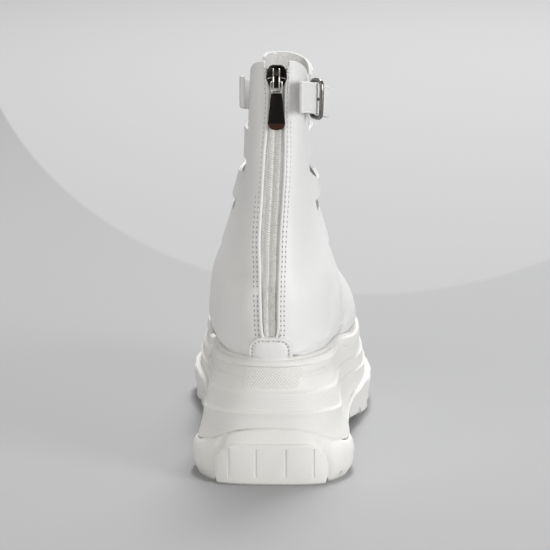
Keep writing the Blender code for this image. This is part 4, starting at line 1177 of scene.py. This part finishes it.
def knurl():
    """The patch of slanting studs at the back of the midsole."""
    bm = bmesh.new()
    for row in range(KNURL_ROWS):
        down = row / (KNURL_ROWS - 1)
        z, half = mix(60.0, 49.9, down), mix(15.6, 14.2, down)
        x = -half + (STUD_PITCH / 2 if row % 2 else 0.0)
        while x <= half:
            found = seen_from_back(MIDSOLE, x, z)
            if found:
                spot, normal = found
                bead(bm, spot, Vector((0.62, 0, -0.78)), normal, STUD_SIZES)
            x += STUD_PITCH
    finished("heel_knurl", bm, FOAM, "sole_white")


STRIP_FROM, STRIP_TO = math.radians(23), math.radians(62)
STRIP_TOP, STRIP_MIDDLE, STRIP_FOOT = 58.9, 56.75, 54.6
SLANT_LINES, SLANT_SIZES = 26, (1.75, 0.3, 0.28)


def strips():
    """The narrow bands of slanting lines at both sides of the knurled patch."""
    bm = bmesh.new()
    for side in (-1, 1):
        for z in (STRIP_TOP, STRIP_FOOT):
            path = [on_heel(side * mix(STRIP_FROM, STRIP_TO, k / 24), z)[0] for k in range(25)]
            tube_along(bm, path, 0.3, 6)
        for k in range(SLANT_LINES):
            turn = side * mix(STRIP_FROM, STRIP_TO, k / (SLANT_LINES - 1))
            spot, normal = on_heel(turn, STRIP_MIDDLE)
            outer = Vector((math.cos(turn), math.sin(turn), 0)) * side
            slant = outer * 0.45 + up_by(0.9)
            bead(bm, spot - normal * 0.05 * MM, slant, normal, SLANT_SIZES, 6)
    finished("heel_strips", bm, FOAM, "sole_white")


knurl()
strips()


def footbed():
    """The padded footbed, crowned under the foot's arch and heel."""
    bm = copied("insole")
    round_edges(bm, 0.6, 2)
    piece = finished("footbed", bm, LINING, "lining_grey", "insole")
    subdivided(piece, 2)


footbed()


# ---------------------------------------------------------------- floor, light and camera
def stage_sheet(name, corners, paint):
    """A flat sheet of the stage, from its four corners in metres."""
    mesh = bpy.data.meshes.new(name)
    mesh.from_pydata(corners, [], [(0, 1, 2, 3)])
    mesh.materials.append(paint.material)
    piece = in_scene(name, mesh)


# Where the floor's painted light begins: a soft arc behind the shoe, its middle and its bend.
ARC_X, ARC_Y, ARC_BEND = 40.0, 360.0, 0.0072


def floor():
    """A pale floor with painted light: lighter beyond a soft arc behind the shoe and lighter still
    far off, standing in for a lit backdrop.
    """
    paint = Finish("floor_painted_light", Base_Color=(0.44, 0.442, 0.45), Roughness=0.85)
    x, y, _ = paint.axes()
    beyond = y - (x - ARC_X) * (x - ARC_X) * ARC_BEND - ARC_Y
    # painted light: the floor grows lighter far off
    painted_far_light = paint.blend(y.ramp(300.0, 2200.0), (0.45, 0.452, 0.46), (0.66, 0.662, 0.67))
    # painted light: darker short of the arc, lighter past it
    paint.set("Base_Color", paint.blend(beyond.ramp(-8.0, 8.0), (0.41, 0.412, 0.42), painted_far_light))
    stage_sheet("studio_floor", [(-5, -5, 0), (5, -5, 0), (5, 7, 0), (-5, 7, 0)], paint)


def dark_card():
    """A dark card behind the camera, which the polished metal mirrors."""
    paint = Finish("card_paint", Base_Color=(0.02, 0.02, 0.02), Roughness=0.9)
    corners = [(-0.5, -2.3, 1.0), (0.35, -2.3, 1.0), (0.35, -2.3, 0.0), (-0.5, -2.3, 0.0)]
    stage_sheet("dark_card", corners, paint)


def area_light(name, where, aim, size, power, colour=(1, 1, 1)):
    """A soft light at one place in metres, aimed at another, of this width, height and power."""
    data = bpy.data.lights.new(name, "AREA")
    data.shape = "RECTANGLE"
    data.size, data.size_y = size
    data.energy = power
    data.color = colour
    lamp = in_scene(name, data)
    lamp.location = where
    lamp.rotation_euler = (Vector(aim) - Vector(where)).to_track_quat("-Z", "Y").to_euler()


def daylight(colour, strength):
    """Even light from all round."""
    world = bpy.data.worlds.new("studio_air")
    bpy.context.scene.world = world
    world.use_nodes = True
    air = world.node_tree.nodes["Background"].inputs
    air["Color"].default_value = (*colour, 1)
    air["Strength"].default_value = strength


floor()
dark_card()
area_light("key", (1.45, -1.05, 0.45), (0, 0, 0.08), (0.8, 0.8), 18)
area_light("top", (0.1, 0.45, 1.7), (0, 0.06, 0), (0.35, 0.9), 21)
area_light("wash", (0.3, 1.9, 1.5), (0.2, 1.9, 0), (1.6, 1.0), 15)
area_light("fill", (-0.8, -1.5, 0.5), (0, 0, 0.1), (1.2, 0.8), 7.5, (1.0, 0.97, 0.92))
daylight((1.0, 0.99, 0.97), 0.35)

# The camera looks from behind the heel, a little from its right and from above.
CAMERA_TURN, CAMERA_DIP = math.radians(2.2), math.radians(11.2)
CAMERA_AWAY, CAMERA_HIGH = 1540.0, 414.0
lens = bpy.data.cameras.new("camera")
lens.lens, lens.sensor_width = 203.0, 36.0
lens.shift_x, lens.shift_y = 0.00727, 0.00262
lens.clip_start = 0.05
camera = in_scene("camera", lens)
towards = Vector((math.sin(CAMERA_TURN), -math.cos(CAMERA_TURN), 0))
camera.location = place(*(towards * CAMERA_AWAY + up_by(CAMERA_HIGH)))
back = towards * math.cos(CAMERA_DIP) + up_by(math.sin(CAMERA_DIP))
camera.rotation_euler = back.to_track_quat("Z", "Y").to_euler()
bpy.context.scene.camera = camera
bpy.context.scene.view_settings.view_transform = "Standard"
